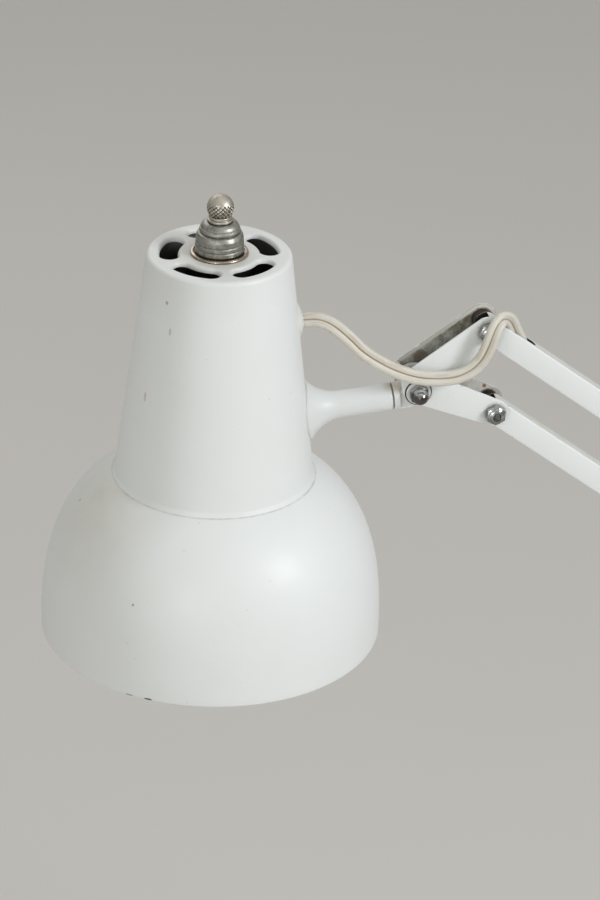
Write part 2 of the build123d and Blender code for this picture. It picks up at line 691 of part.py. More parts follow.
# Head: a spun shade, a tapered lamp housing and the trumpet neck
def housing_r(z):
    return HOUSING_R - (z - HOUSING_BASE_Z) * math.tan(math.radians(HOUSING_ANGLE))


def shade_point(radius, span, share):
    """A point of the shade's superellipse, from the rim at share 0 towards its crown at share 1."""
    turn = share * math.pi / 2
    return (
        radius * math.cos(turn) ** (2 / SHADE_POWER),
        span * math.sin(turn) ** (2 / SHADE_POWER) - SHADE_DROP,
    )


def shade_share(radius, span, at_r):
    return math.acos((at_r / radius) ** (SHADE_POWER / 2)) / (math.pi / 2)


def shade_curve(inset, from_z, to_r):
    radius, span = SHADE_R - inset, SHADE_SPAN - inset
    first = math.asin(((from_z + SHADE_DROP) / span) ** (SHADE_POWER / 2)) / (math.pi / 2)
    last = shade_share(radius, span, to_r)
    steps = 9
    return [shade_point(radius, span, first + (last - first) * i / steps) for i in range(steps + 1)]


def shade_top_r():
    return housing_r(HOUSING_BASE_Z + HOUSING_LIP_H) - HOUSING_WALL - SEAT_GAP


def shade_outer_solid():
    """Everything inside the shade's outer skin, used to trim the housing's lip to it."""
    points = shade_curve(0, RIM_BEAD_R, shade_top_r())
    with BuildSketch(Plane.XZ) as profile:
        with BuildLine():
            Spline(*points)
            Polyline(points[-1], (0, points[-1][1]), (0, points[0][1]), points[0])
        make_face()
    return revolve(profile.sketch, Axis.Z)


def shade():
    top_r = shade_top_r()
    outer = shade_curve(0, RIM_BEAD_R, top_r)
    inner = shade_curve(SHADE_WALL, RIM_BEAD_R, top_r - SHADE_WALL)
    with BuildSketch(Plane.XZ) as profile:
        with BuildLine():
            Spline(*outer)
            rise = outer[-1][1] + COLLAR_H
            taper = COLLAR_H * math.tan(math.radians(HOUSING_ANGLE))
            Polyline(outer[-1], (top_r - taper, rise), (top_r - taper - SHADE_WALL, rise), inner[-1])
            Spline(*inner)
            Line(inner[0], outer[0])
        make_face()
    body = revolve(profile.sketch, Axis.Z)
    bead = revolve(Plane.XZ * Pos(SHADE_R - RIM_BEAD_R, RIM_BEAD_R) * Circle(RIM_BEAD_R), Axis.Z)
    return body + bead


def housing_blank(inset):
    top = HOUSING_TOP_Z - inset
    low = HOUSING_BASE_Z - HOUSING_LIP_H
    lip_z = HOUSING_BASE_Z + HOUSING_LIP_H
    blank = turned([
        (0, low),
        (HOUSING_R + HOUSING_LIP - inset, low),
        (HOUSING_R + HOUSING_LIP - inset, HOUSING_BASE_Z),
        (housing_r(lip_z) - inset, lip_z),
        (housing_r(top) - inset, top),
        (0, top),
    ])
    shoulder = [e for e in blank.edges().filter_by(GeomType.CIRCLE) if abs(e.center().Z - top) < 1e-4]
    return fillet(shoulder, HOUSING_SHOULDER - inset)


def lamp_housing():
    body = housing_blank(0) - housing_blank(HOUSING_WALL)
    body -= shade_outer_solid()
    body -= Pos(0, 0, HOUSING_BASE_Z - 2 * HOUSING_LIP_H) * Cylinder(
        HOUSING_R - HOUSING_WALL - 1, 3 * HOUSING_LIP_H, align=(Align.CENTER, Align.CENTER, Align.MIN)
    )
    arc = CenterArc((0, 0), VENT_MEAN_R, -VENT_SWEEP / 2, VENT_SWEEP)
    vent = extrude(SlotArc(arc, VENT_WIDTH), 4 * HOUSING_WALL, both=True)
    for number in range(VENT_COUNT):
        turn = VENT_FIRST - 90 + number * 360 / VENT_COUNT
        body -= Pos(0, 0, HOUSING_TOP_Z) * Rot(0, 0, turn) * vent
    rims = [
        e
        for e in body.edges()
        if abs(e.center().Z - HOUSING_TOP_Z) < 1e-3 and e.bounding_box().size.Z < 1e-3
        and VENT_MEAN_R - VENT_WIDTH < math.hypot(e.center().X, e.center().Y) < VENT_MEAN_R + VENT_WIDTH
    ]
    body = fillet(rims, VENT_EDGE)
    body -= Pos(0, 0, HOUSING_TOP_Z) * Cylinder(SWITCH_BUSHING_R + SEAT_GAP, 6 * HOUSING_WALL)
    body -= bush_frame() * Cylinder(CORD_BUSH_STEM_R + SEAT_GAP, 8 * HOUSING_WALL)
    for place in neck_screw_places():
        body -= place * Cylinder(NECK_SCREW_R + SEAT_GAP, 6 * HOUSING_WALL)
    return body


def wall_frame(z):
    """A frame on the housing's wall facing the arm, with local +Z along the outward normal."""
    return Pos(housing_r(z), 0, z) * Rot(0, 90 - HOUSING_ANGLE, 0)


def bush_frame():
    return wall_frame(CORD_BUSH_Z)


def cord_bush():
    dome = Pos(0, 0, -CORD_BUSH_H) * dome_cap(CORD_BUSH_R, 2 * CORD_BUSH_H)
    bush = bush_frame() * dome - housing_blank(0)
    bush += bush_frame() * Pos(0, 0, -HOUSING_WALL - CORD_BUSH_FLANGE_T) * Cylinder(
        CORD_BUSH_STEM_R, HOUSING_WALL + CORD_BUSH_FLANGE_T + CORD_BUSH_H / 2,
        align=(Align.CENTER, Align.CENTER, Align.MIN),
    )
    flange = bush_frame() * Pos(0, 0, -HOUSING_WALL - CORD_BUSH_FLANGE_T) * Cylinder(
        CORD_BUSH_FLANGE_R, 2 * CORD_BUSH_FLANGE_T, align=(Align.CENTER, Align.CENTER, Align.MIN)
    )
    return bush + (flange & housing_blank(HOUSING_WALL + SEAT_GAP))


def neck_in_head():
    """The neck's frame, moved into the head's own frame."""
    return Pos(-HEAD_X, 0, -RIM_Z) * NECK


def neck_screw_places():
    axis_z = TILT_ABOVE_RIM - (TILT_FROM_AXIS - housing_r(TILT_ABOVE_RIM)) * math.tan(math.radians(NECK_ANGLE))
    middle = axis_z - NECK_AXIS_DROP
    return [wall_frame(middle + side * NECK_SCREW_SPREAD) for side in (-1, 1)]


def neck():
    with BuildSketch(Plane.XZ) as profile:
        with BuildLine():
            start = NECK_GAP_AT + NECK_GAP / 2
            Polyline((0, 2 * NECK_FLARE_TO), (0, start), (NECK_R, start), (NECK_R, NECK_FLARE_FROM))
            TangentArc((NECK_R, NECK_FLARE_FROM), (NECK_FLARE_R, NECK_FLARE_TO), tangent=(0, 1))
            Polyline((NECK_FLARE_R, NECK_FLARE_TO), (NECK_FLARE_R, 2 * NECK_FLARE_TO), (0, 2 * NECK_FLARE_TO))
        make_face()
    body = neck_in_head() * revolve(profile.sketch, Axis.Z)
    body -= neck_in_head() * Pos(0, 0, NECK_GAP_AT) * Cylinder(
        SPIGOT_R + RUNNING_FIT, SPIGOT_LENGTH + 0.4, align=(Align.CENTER, Align.CENTER, Align.MIN)
    )
    body -= housing_blank(0)
    body = max(body.solids(), key=lambda s: s.center().X)
    for place in neck_screw_places():
        body -= place * Cylinder(NECK_SCREW_R + SEAT_GAP, 2 * NECK_SCREW_DEPTH)
    return body


def neck_screws():
    screws = []
    for place in neck_screw_places():
        shank = place * Pos(0, 0, -HOUSING_WALL - NECK_SCREW_HEAD_H / 2) * Cylinder(
            NECK_SCREW_R, HOUSING_WALL + NECK_SCREW_HEAD_H / 2 + NECK_SCREW_DEPTH - SEAT_GAP,
            align=(Align.CENTER, Align.CENTER, Align.MIN),
        )
        head = place * Pos(0, 0, -HOUSING_WALL - NECK_SCREW_HEAD_H) * Cylinder(
            NECK_SCREW_HEAD_R, 2 * NECK_SCREW_HEAD_H, align=(Align.CENTER, Align.CENTER, Align.MIN)
        )
        screws.append(shank + (head & housing_blank(HOUSING_WALL + SEAT_GAP)))
    return screws


# Switch, lampholder and bulb, all on the head's axis
def cap_fittings():
    base = HOUSING_TOP_Z
    nut_base = base + CAP_WASHER_T
    hole = SWITCH_BUSHING_R + SEAT_GAP
    ring = turned([
        (hole, base), (CAP_WASHER_R, base), (CAP_WASHER_R, nut_base), (hole, nut_base),
    ])
    steps = [(r, nut_base + z) for r, z in CAP_NUT_STEPS]
    nut = turned([(hole, nut_base), *steps, (hole, steps[-1][1])])
    groove = turned([
        (CAP_NUT_STEPS[1][0] - CAP_NUT_GROOVE, nut_base + CAP_NUT_GROOVE_Z - CAP_NUT_GROOVE),
        (CAP_NUT_STEPS[1][0] + 1, nut_base + CAP_NUT_GROOVE_Z - CAP_NUT_GROOVE),
        (CAP_NUT_STEPS[1][0] + 1, nut_base + CAP_NUT_GROOVE_Z + CAP_NUT_GROOVE),
        (CAP_NUT_STEPS[1][0] - CAP_NUT_GROOVE, nut_base + CAP_NUT_GROOVE_Z + CAP_NUT_GROOVE),
    ])
    body_top = HOUSING_TOP_Z - HOUSING_WALL - SEAT_GAP
    bushing = turned([
        (SWITCH_BUSHING_R - SWITCH_BUSHING_WALL, body_top),
        (SWITCH_BUSHING_R, body_top),
        (SWITCH_BUSHING_R, nut_base + SWITCH_BUSHING_TOP),
        (SWITCH_BUSHING_R - SWITCH_BUSHING_WALL, nut_base + SWITCH_BUSHING_TOP),
    ])
    return ring, nut - groove, bushing


def spindle_r():
    return SWITCH_BUSHING_R - SWITCH_BUSHING_WALL - RUNNING_FIT


def switch_knob():
    skirt_z = HOUSING_TOP_Z + CAP_WASHER_T + SWITCH_BUSHING_TOP + RUNNING_FIT
    body_top = HOUSING_TOP_Z - HOUSING_WALL - SEAT_GAP
    ball_z = HOUSING_TOP_Z + KNOB_TOP - KNOB_BALL_R
    knob = Pos(0, 0, skirt_z) * Cylinder(
        KNOB_SKIRT_R, KNOB_SKIRT_H, align=(Align.CENTER, Align.CENTER, Align.MIN)
    )
    knob += Pos(0, 0, ball_z) * Sphere(KNOB_BALL_R) & Pos(0, 0, skirt_z) * Cylinder(
        2 * KNOB_BALL_R, 4 * KNOB_BALL_R, align=(Align.CENTER, Align.CENTER, Align.MIN)
    )
    return knob + Pos(0, 0, body_top - SPINDLE_DEPTH + RUNNING_FIT) * Cylinder(
        spindle_r(), skirt_z - body_top + SPINDLE_DEPTH, align=(Align.CENTER, Align.CENTER, Align.MIN)
    )


def switch_body():
    top = HOUSING_TOP_Z - HOUSING_WALL - SEAT_GAP
    body = turned([
        (0, top - SWITCH_BODY_H), (SWITCH_BODY_R - 3, top - SWITCH_BODY_H),
        (SWITCH_BODY_R, top - SWITCH_BODY_H + 3), (SWITCH_BODY_R, top), (0, top),
    ])
    return body - Pos(0, 0, top - SPINDLE_DEPTH) * Cylinder(
        spindle_r() + RUNNING_FIT, SPINDLE_DEPTH, align=(Align.CENTER, Align.CENTER, Align.MIN)
    )


def holder_top():
    return HOUSING_TOP_Z - HOUSING_WALL - SEAT_GAP - SWITCH_BODY_H


def lampholder():
    top = holder_top()
    low = top - HOLDER_H
    body = turned([
        (0, top), (HOLDER_R - HOLDER_SHOULDER, top), (HOLDER_R, top - HOLDER_SHOULDER), (HOLDER_R, low),
        (HOLDER_R - HOLDER_WALL, low), (HOLDER_R - HOLDER_WALL, low + SHELL_H + 4), (0, low + SHELL_H + 4),
    ])
    shell_out = HOLDER_R - HOLDER_WALL - SEAT_GAP
    roof = low + SHELL_H + 4 - SEAT_GAP
    shell = turned([
        (SHELL_R - SHELL_WALL, low + 3), (SHELL_R, low + 3), (SHELL_R, roof - 2), (shell_out, roof - 2),
        (shell_out, roof), (3.0, roof), (3.0, roof - 2), (SHELL_R - SHELL_WALL, roof - 2),
    ])
    return body, shell


def bulb():
    """An E27 screw cap and a standard pear bulb below it."""
    cap_top = holder_top() - HOLDER_H + SHELL_H + 4 - SEAT_GAP - 2 - SEAT_GAP
    seam = cap_top - BULB_CAP_H
    cap = turned([
        (0, seam), (BULB_CAP_R, seam), (BULB_CAP_R, cap_top - 4), (BULB_CAP_R - 4, cap_top - 2),
        (4.5, cap_top), (0, cap_top),
    ])
    ball_z = seam - BULB_LENGTH + BULB_R
    with BuildSketch(Plane.XZ) as profile:
        with BuildLine():
            shoulder = (BULB_R * math.cos(0.35), ball_z + BULB_R * math.sin(0.35))
            Spline(
                (BULB_CAP_R - 0.4, seam), (BULB_NECK_R, seam - 0.22 * BULB_LENGTH), shoulder,
                tangents=((0, -1), (math.sin(0.35), -math.cos(0.35))),
            )
            ThreePointArc(shoulder, (BULB_R * math.cos(-0.6), ball_z + BULB_R * math.sin(-0.6)), (0, ball_z - BULB_R))
            inner_r = BULB_R - BULB_WALL
            inside = (inner_r * math.cos(0.35), ball_z + inner_r * math.sin(0.35))
            Line((0, ball_z - BULB_R), (0, ball_z - inner_r))
            ThreePointArc((0, ball_z - inner_r), (inner_r * math.cos(-0.6), ball_z + inner_r * math.sin(-0.6)), inside)
            Spline(
                inside, (BULB_NECK_R - BULB_WALL, seam - 0.22 * BULB_LENGTH), (BULB_CAP_R - 0.4 - BULB_WALL, seam),
                tangents=((-math.sin(0.35), math.cos(0.35)), (0, 1)),
            )
            Line((BULB_CAP_R - 0.4 - BULB_WALL, seam), (BULB_CAP_R - 0.4, seam))
        make_face()
    return cap, revolve(profile.sketch, Axis.Z)


# Cord routes, by hand. The head loop is measured from the tilt pivot, the others in the lamp's frame.
HEAD_LOOP = [
    (-54.3, 0.0, 39.2), (-48.0, -2.6, 40.1), (-41.8, -5.2, 37.6), (-34.8, -8.0, 31.6), (-28.4, -10.0, 25.0),
    (-18.8, -11.7, 18.8), (-10.2, -12.7, 14.6), (-1.4, -13.1, 11.5), (7.2, -13.3, 10.5), (16.0, -13.5, 10.7),
    (22.9, -13.9, 13.9), (27.4, -14.1, 18.9), (30.2, -14.1, 25.2), (32.2, -14.0, 32.6), (34.1, -12.5, 37.5),
    (37.3, -9.9, 39.7), (41.7, -6.4, 38.5), (45.2, -3.5, 34.7), (47.4, -1.5, 30.0),
]
ELBOW_LOOP = [
    (157.1, 0.0, 570.0), (162.4, 1.0, 577.2), (174.0, 0.0, 585.9), (191.0, -1.0, 586.0), (207.0, 0.0, 575.0),
    (218.5, 1.0, 556.0), (225.0, 1.0, 532.5), (227.5, 0.0, 508.0), (225.0, -1.0, 485.0), (217.0, -1.0, 464.5),
    (208.5, 0.0, 450.5), (200.6, 0.0, 444.6), (194.4, 0.0, 446.6),
]
BASE_LOOP = [
    (39.0, 0.0, 111.3), (45.6, 0.0, 107.4), (53.5, 1.0, 100.5), (57.0, 0.0, 90.0), (53.0, -1.0, 78.6),
    (43.0, 0.0, 70.4), (29.5, 0.0, 67.0), (16.0, 0.0, 65.0), (6.0, 0.0, 60.0), (1.2, 0.0, 52.0), (0.4, 0.0, 44.5),
]
LEAD = [
    (0.0, 125.3, 7.0), (-0.5, 137.0, 6.0), (-4.0, 153.0, 3.3), (-14.0, 170.0, 2.6), (-34.0, 182.0, 2.6),
    (-62.0, 186.0, 2.6), (-94.0, 182.0, 2.6), (-126.0, 172.0, 2.6), (-155.0, 156.0, 2.6), (-178.0, 135.0, 2.6),
]


def cord_tube(name, points):
    """A round tube on straight runs and arcs, each arc as large as its two runs allow."""
    spots = [Vector(*p) for p in points]
    radii = []
    for before, here, after in zip(spots, spots[1:], spots[2:]):
        turn = math.radians((here - before).get_angle(after - here))
        radii.append(0.45 * min((here - before).length, (after - here).length) / math.tan(turn / 2))
    path = FilletPolyline(*spots, radius=radii)
    wire = Wire(path.edges())
    tube = wound(wire, CORD_R)
    print(name, "length", round(wire.length, 1), "least radius", round(min(radii), 1), "volume ratio",
          round(tube.volume / (math.pi * CORD_R ** 2 * wire.length), 3))
    return tube


def coil_place(turn):
    """A point of the put-away coil: in along the lower layer, up, and out along the upper one."""
    half_turns = 2 * COIL_LAYER_TURNS
    inner = COIL_MEAN_R - CORD_PITCH * COIL_LAYER_TURNS / 2
    low = CORD_R + FLOOR_GAP
    halves = turn / math.pi
    if halves <= half_turns:
        radius, height = inner + CORD_PITCH * (half_turns - halves) / 2, low
    elif halves <= half_turns + 1:
        share = halves - half_turns
        radius, height = inner, low + COIL_LAYER_Z * share
    else:
        radius, height = inner + CORD_PITCH * (halves - half_turns - 1) / 2, low + COIL_LAYER_Z
    angle = math.radians(COIL_FROM) + turn
    return Vector(COIL_CENTRE[0] + radius * math.cos(angle), COIL_CENTRE[1] + radius * math.sin(angle), height)


def coil_heading(turn):
    small = 1e-3
    return (coil_place(turn + small) - coil_place(turn - small)).normalized()


COIL_SWEEP = 2 * math.pi * (2 * COIL_LAYER_TURNS + 0.5) - math.pi / 2


def cord_coil():
    edges = []
    quarters = round(COIL_SWEEP / (math.pi / 2))
    turns = [COIL_SWEEP * i / quarters for i in range(quarters + 1)]
    ways = [coil_heading(t) for t in turns]
    for here, there, way, next_way in zip(turns, turns[1:], ways, ways[1:]):
        edges += biarc(coil_place(here), way, coil_place(there), next_way)
    end = coil_place(COIL_SWEEP)
    edges.append(Edge.make_line(end, end + ways[-1] * TAIL_LENGTH))
    wire = Wire(edges)
    coil = wound(wire, CORD_R)
    spots = [wire.position_at(i / 600) for i in range(601)]
    apart = min(
        (a - b).length for i, a in enumerate(spots) for b in spots[i + 24:]
    )
    print("cord coil length", round(wire.length, 1), "gap to itself", round(apart - 2 * CORD_R, 2), "volume ratio",
          round(coil.volume / (math.pi * CORD_R ** 2 * wire.length), 3))
    return coil


def cord_tie():
    """A clip over both layers of the coil, open underneath."""
    inner = COIL_MEAN_R - CORD_PITCH * COIL_LAYER_TURNS / 2 - CORD_R - TIE_CLEAR
    outer = COIL_MEAN_R + CORD_PITCH * COIL_LAYER_TURNS / 2 + CORD_R + TIE_CLEAR
    high = FLOOR_GAP + 2 * CORD_R + COIL_LAYER_Z + TIE_CLEAR
    middle = (inner + outer) / 2
    rim = Pos(middle, 0) * RectangleRounded(outer - inner + 2 * TIE_T, 2 * (high + TIE_T), 2 + TIE_T)
    rim -= Pos(middle, 0) * RectangleRounded(outer - inner, 2 * high, 2)
    rim &= Pos(middle, FLOOR_GAP) * Rectangle(2 * outer, 2 * high, align=(Align.CENTER, Align.MIN))
    band = slab(rim, -TIE_WIDTH / 2, TIE_WIDTH / 2)
    return Pos(COIL_CENTRE[0], COIL_CENTRE[1], 0) * Rot(0, 0, TIE_AT) * band


def plug():
    """A plain two-pin plug, with local +X from the cord towards the pins."""
    end = coil_place(COIL_SWEEP)
    way = coil_heading(COIL_SWEEP)
    start = end + way * (TAIL_LENGTH + SEAT_GAP)
    relief = Rot(0, 90, 0) * turned([
        (0, 0),
        (CORD_R + 0.8, 0),
        (PLUG_NOSE / 2 - 1, PLUG_RELIEF_LENGTH),
        (PLUG_NOSE / 2 - 1, PLUG_RELIEF_LENGTH + 6),
        (0, PLUG_RELIEF_LENGTH + 6),
    ])
    back, face = PLUG_RELIEF_LENGTH, PLUG_RELIEF_LENGTH + PLUG_LENGTH
    flank = back + PLUG_LENGTH / 2
    outline = make_face(Polyline(
        (back, -PLUG_NOSE / 2), (flank, -PLUG_WIDTH / 2), (face, -PLUG_WIDTH / 2),
        (face, PLUG_WIDTH / 2), (flank, PLUG_WIDTH / 2), (back, PLUG_NOSE / 2), close=True,
    ))
    body = extrude(outline, PLUG_HEIGHT / 2, both=True)
    body = fillet([e for e in body.edges() if e.center().X < face - 0.1], PLUG_ROUND)
    pin = Rot(0, 90, 0) * Cylinder(PLUG_PIN_R, PLUG_PIN_LENGTH, align=(Align.CENTER, Align.CENTER, Align.MIN))
    pin = fillet(pin.edges().filter_by(GeomType.CIRCLE).sort_by(Axis.X)[-1:], PLUG_PIN_R * 0.6)
    frame = Pos(start.X, start.Y, start.Z) * Rot(0, 0, math.degrees(math.atan2(way.Y, way.X)))
    pins = [frame * Pos(face, y, 0) * pin for y in (-PLUG_PIN_SPACING / 2, PLUG_PIN_SPACING / 2)]
    return frame * (relief + body), pins


def main():
    os.makedirs("parts", exist_ok=True)
    casting, felt, bush, gland = foot()
    write("foot_casting", casting)
    write("foot_felt", felt)
    write("swivel_bush", bush)
    write("cord_gland", gland)
    post, clip = swivel_post()
    write("swivel_post", post)
    write("post_clip", clip)

    write("turret_bracket", turret_bracket())
    turret = [pivot_set(at, -PLATE_OUT, PLATE_OUT) for at in (PIVOT_A, PIVOT_B)]
    write("turret_bolts", *[bolt for bolt, nut in turret])
    write("turret_nuts", *[nut for bolt, nut in turret])
    write("turret_washers", *[w for at in (PIVOT_A, PIVOT_B) for w in bar_washers(at, PLATE_IN)])
    write("turret_spring_pins", *stub_pins(LOWER_PIN))

    write("lower_bar", arm_bar(PIVOT_B, LOWER_ANGLE, [(SLOT_AT, -1), (ARM_LENGTH - SLOT_AT, -1)]))
    write("lower_stay", arm_bar(PIVOT_A, LOWER_ANGLE, pin_at=LOWER_SPRING_AT))
    write("lower_spring_pin", through_pin(LOWER_HOOK))
    length = rod_length(PIVOT_A, LOWER_PIN, LOWER_SPRING_AT, LOWER_ANGLE, *LOWER_SWING)
    coils, anchors, rods = spring_pair(LOWER_PIN, LOWER_HOOK, length)
    write("lower_spring_coils", *coils)
    write("lower_spring_anchors", *anchors)
    write("lower_spring_rods", *rods)

    front, rear = elbow_plates()
    write("elbow_front_plate", front)
    write("elbow_rear_plate", rear)
    corners = (ELBOW_A, ELBOW_B, ELBOW_U, ELBOW_V)
    elbow = [pivot_set(at, -PLATE_OUT, PLATE_OUT) for at in corners]
    write("elbow_bolts", *[bolt for bolt, nut in elbow])
    write("elbow_nuts", *[nut for bolt, nut in elbow])
    write("elbow_washers", *[w for at in corners for w in bar_washers(at, PLATE_IN)])
    write("elbow_spring_pins", *stub_pins(UPPER_PIN))

    upper_slots = [(SLOT_AT, -1), (ARM_LENGTH - HEAD_SLOT_AT, -1)]
    write("upper_bar", arm_bar(ELBOW_U, UPPER_ANGLE, upper_slots, pin_at=UPPER_SPRING_AT))
    write("upper_stay", arm_bar(ELBOW_V, UPPER_ANGLE))
    write("upper_spring_pin", through_pin(UPPER_HOOK))
    length = rod_length(ELBOW_U, UPPER_PIN, UPPER_SPRING_AT, UPPER_ANGLE, *UPPER_SWING)
    coils, anchors, rods = spring_pair(UPPER_PIN, UPPER_HOOK, length)
    write("upper_spring_coils", *coils)
    write("upper_spring_anchors", *anchors)
    write("upper_spring_rods", *rods)

    write("head_bracket", head_bracket())
    washers, bolt, nut = tilt_pivot()
    write("tilt_washers", *washers)
    write("tilt_bolt", bolt)
    write("tilt_nut", nut)
    head_pivots = [pivot_set(at, BRACKET_FRONT_OUT, BRACKET_REAR_OUT) for at in (HEAD_U, HEAD_V)]
    write("head_pivot_bolts", *[b for b, n in head_pivots])
    write("head_pivot_nuts", *[n for b, n in head_pivots])
    write("head_pivot_spacers", *head_pivot_spacers())
    write("knuckle", knuckle())

    write("shade", HEAD * shade())
    write("lamp_housing", HEAD * lamp_housing())
    write("neck", HEAD * neck())
    write("neck_screws", *[HEAD * s for s in neck_screws()])
    write("cord_bush", HEAD * cord_bush())
    ring, cap_nut, bushing = cap_fittings()
    write("cap_washer", HEAD * ring)
    write("cap_nut", HEAD * cap_nut)
    write("switch_bushing", HEAD * bushing)
    write("switch_knob", HEAD * switch_knob())
    write("switch_body", HEAD * switch_body())
    holder, shell = lampholder()
    write("lampholder", HEAD * holder)
    write("lampholder_shell", HEAD * shell)
    cap, glass = bulb()
    write("bulb_cap", HEAD * cap)
    write("bulb_glass", HEAD * glass)

    head_loop = [(TILT[0] + x, y, TILT[1] + z) for x, y, z in HEAD_LOOP]
    write("cord_head_loop", cord_tube("head loop", head_loop))
    write("cord_elbow_loop", cord_tube("elbow loop", ELBOW_LOOP))
    write("cord_base_loop", cord_tube("base loop", BASE_LOOP))
    coil_start = coil_place(0)
    write("cord_lead", cord_tube("lead", LEAD + [(coil_start.X, coil_start.Y, coil_start.Z)]))
    write("cord_coil", cord_coil())
    write("cord_tie", cord_tie())
    body, pins = plug()
    write("plug_body", body)
    write("plug_pins", *pins)
    print("tilt", TILT, "head axis x", HEAD_X, "rim z", RIM_Z)


if __name__ == "__main__":
    main()
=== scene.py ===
import math

import bmesh
import bpy
from mathutils import Matrix, Vector
from mathutils.geometry import intersect_line_line_2d


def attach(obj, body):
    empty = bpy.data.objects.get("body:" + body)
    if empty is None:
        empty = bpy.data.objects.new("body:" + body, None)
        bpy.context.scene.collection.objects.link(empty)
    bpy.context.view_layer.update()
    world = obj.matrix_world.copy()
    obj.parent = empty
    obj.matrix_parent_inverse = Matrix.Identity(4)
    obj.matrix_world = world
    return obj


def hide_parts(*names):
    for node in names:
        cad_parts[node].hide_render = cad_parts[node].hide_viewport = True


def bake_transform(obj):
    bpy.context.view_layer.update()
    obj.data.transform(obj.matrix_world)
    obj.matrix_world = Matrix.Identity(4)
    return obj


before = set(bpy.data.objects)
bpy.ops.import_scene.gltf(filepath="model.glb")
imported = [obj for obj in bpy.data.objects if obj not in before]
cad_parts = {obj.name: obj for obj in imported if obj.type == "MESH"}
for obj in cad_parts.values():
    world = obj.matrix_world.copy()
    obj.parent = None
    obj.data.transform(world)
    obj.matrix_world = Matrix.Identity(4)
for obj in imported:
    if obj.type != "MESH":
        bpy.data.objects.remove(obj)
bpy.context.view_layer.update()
MM = 0.001

# Driving dimensions, in millimetres and degrees
ARM = 420.0
LOWER_ANGLE = 65.0
UPPER_ANGLE = 143.2
NECK_ANGLE = 6.2
UPPER_FROM_TILT = Vector((32.65, 0, 30.5))
LOWER_FROM_TILT = Vector((38.45, 0, -13.6))
TILT_FROM_RIM = Vector((97.25, 0, 122.3014))
SPRING_RISE = Vector((0, 0, 22))
LOWER_SPRING_AT, UPPER_SPRING_AT = 200.0, 180.0
HOUSING_BASE = 82.5
HOUSING_TOP = 198.3
HOUSING_ANGLE = 6.78
SEAM_R = 48.75
UPPER_R, LOWER_R = 7.4, 6.9

# Depths across the arm, towards the viewer first: both faces of each cheek, then half depths
FRONT, FRONT_IN = -6.1, -4.8
REAR_IN, REAR = 8.9, 10.2
BAR_HALF = 4.3
PLATE_OUT = 6.3
SPRING_Y = 12.8


def polar(length, degrees):
    return (length * math.cos(math.radians(degrees)), length * math.sin(math.radians(degrees)))


def along(start, length, degrees):
    x, z = polar(length, degrees)
    return start + Vector((x, 0, z))


# Pivots, from the turret up the arm to the head, in the lamp's frame as in the CAD
PIVOT_A, PIVOT_B = Vector((-22.0, 0, 92.0)), Vector((22.0, 0, 92.0))
ELBOW_A, ELBOW_B = along(PIVOT_A, ARM, LOWER_ANGLE), along(PIVOT_B, ARM, LOWER_ANGLE)
ELBOW_V = ELBOW_A + Vector((24.5, 0, 32.4))
ELBOW_U = ELBOW_V + UPPER_FROM_TILT - LOWER_FROM_TILT
PIVOT_U, PIVOT_V = along(ELBOW_U, ARM, UPPER_ANGLE), along(ELBOW_V, ARM, UPPER_ANGLE)
TILT = PIVOT_U - UPPER_FROM_TILT
HEAD = TILT - TILT_FROM_RIM
HEAD_FRAME = Matrix.Translation(HEAD)
LOWER_PIN, LOWER_HOOK = PIVOT_A + SPRING_RISE, along(PIVOT_A, LOWER_SPRING_AT, LOWER_ANGLE)
UPPER_PIN, UPPER_HOOK = ELBOW_U + SPRING_RISE, along(ELBOW_U, UPPER_SPRING_AT, UPPER_ANGLE)


def on_head(x, y, z):
    """A place on the head, from its axis and rim, in the lamp's frame."""
    return HEAD + Vector((x, y, z))


def by_tilt(x, y, z):
    """A place near the bracket, from the tilt pivot, in the lamp's frame."""
    return TILT + Vector((x, y, z))


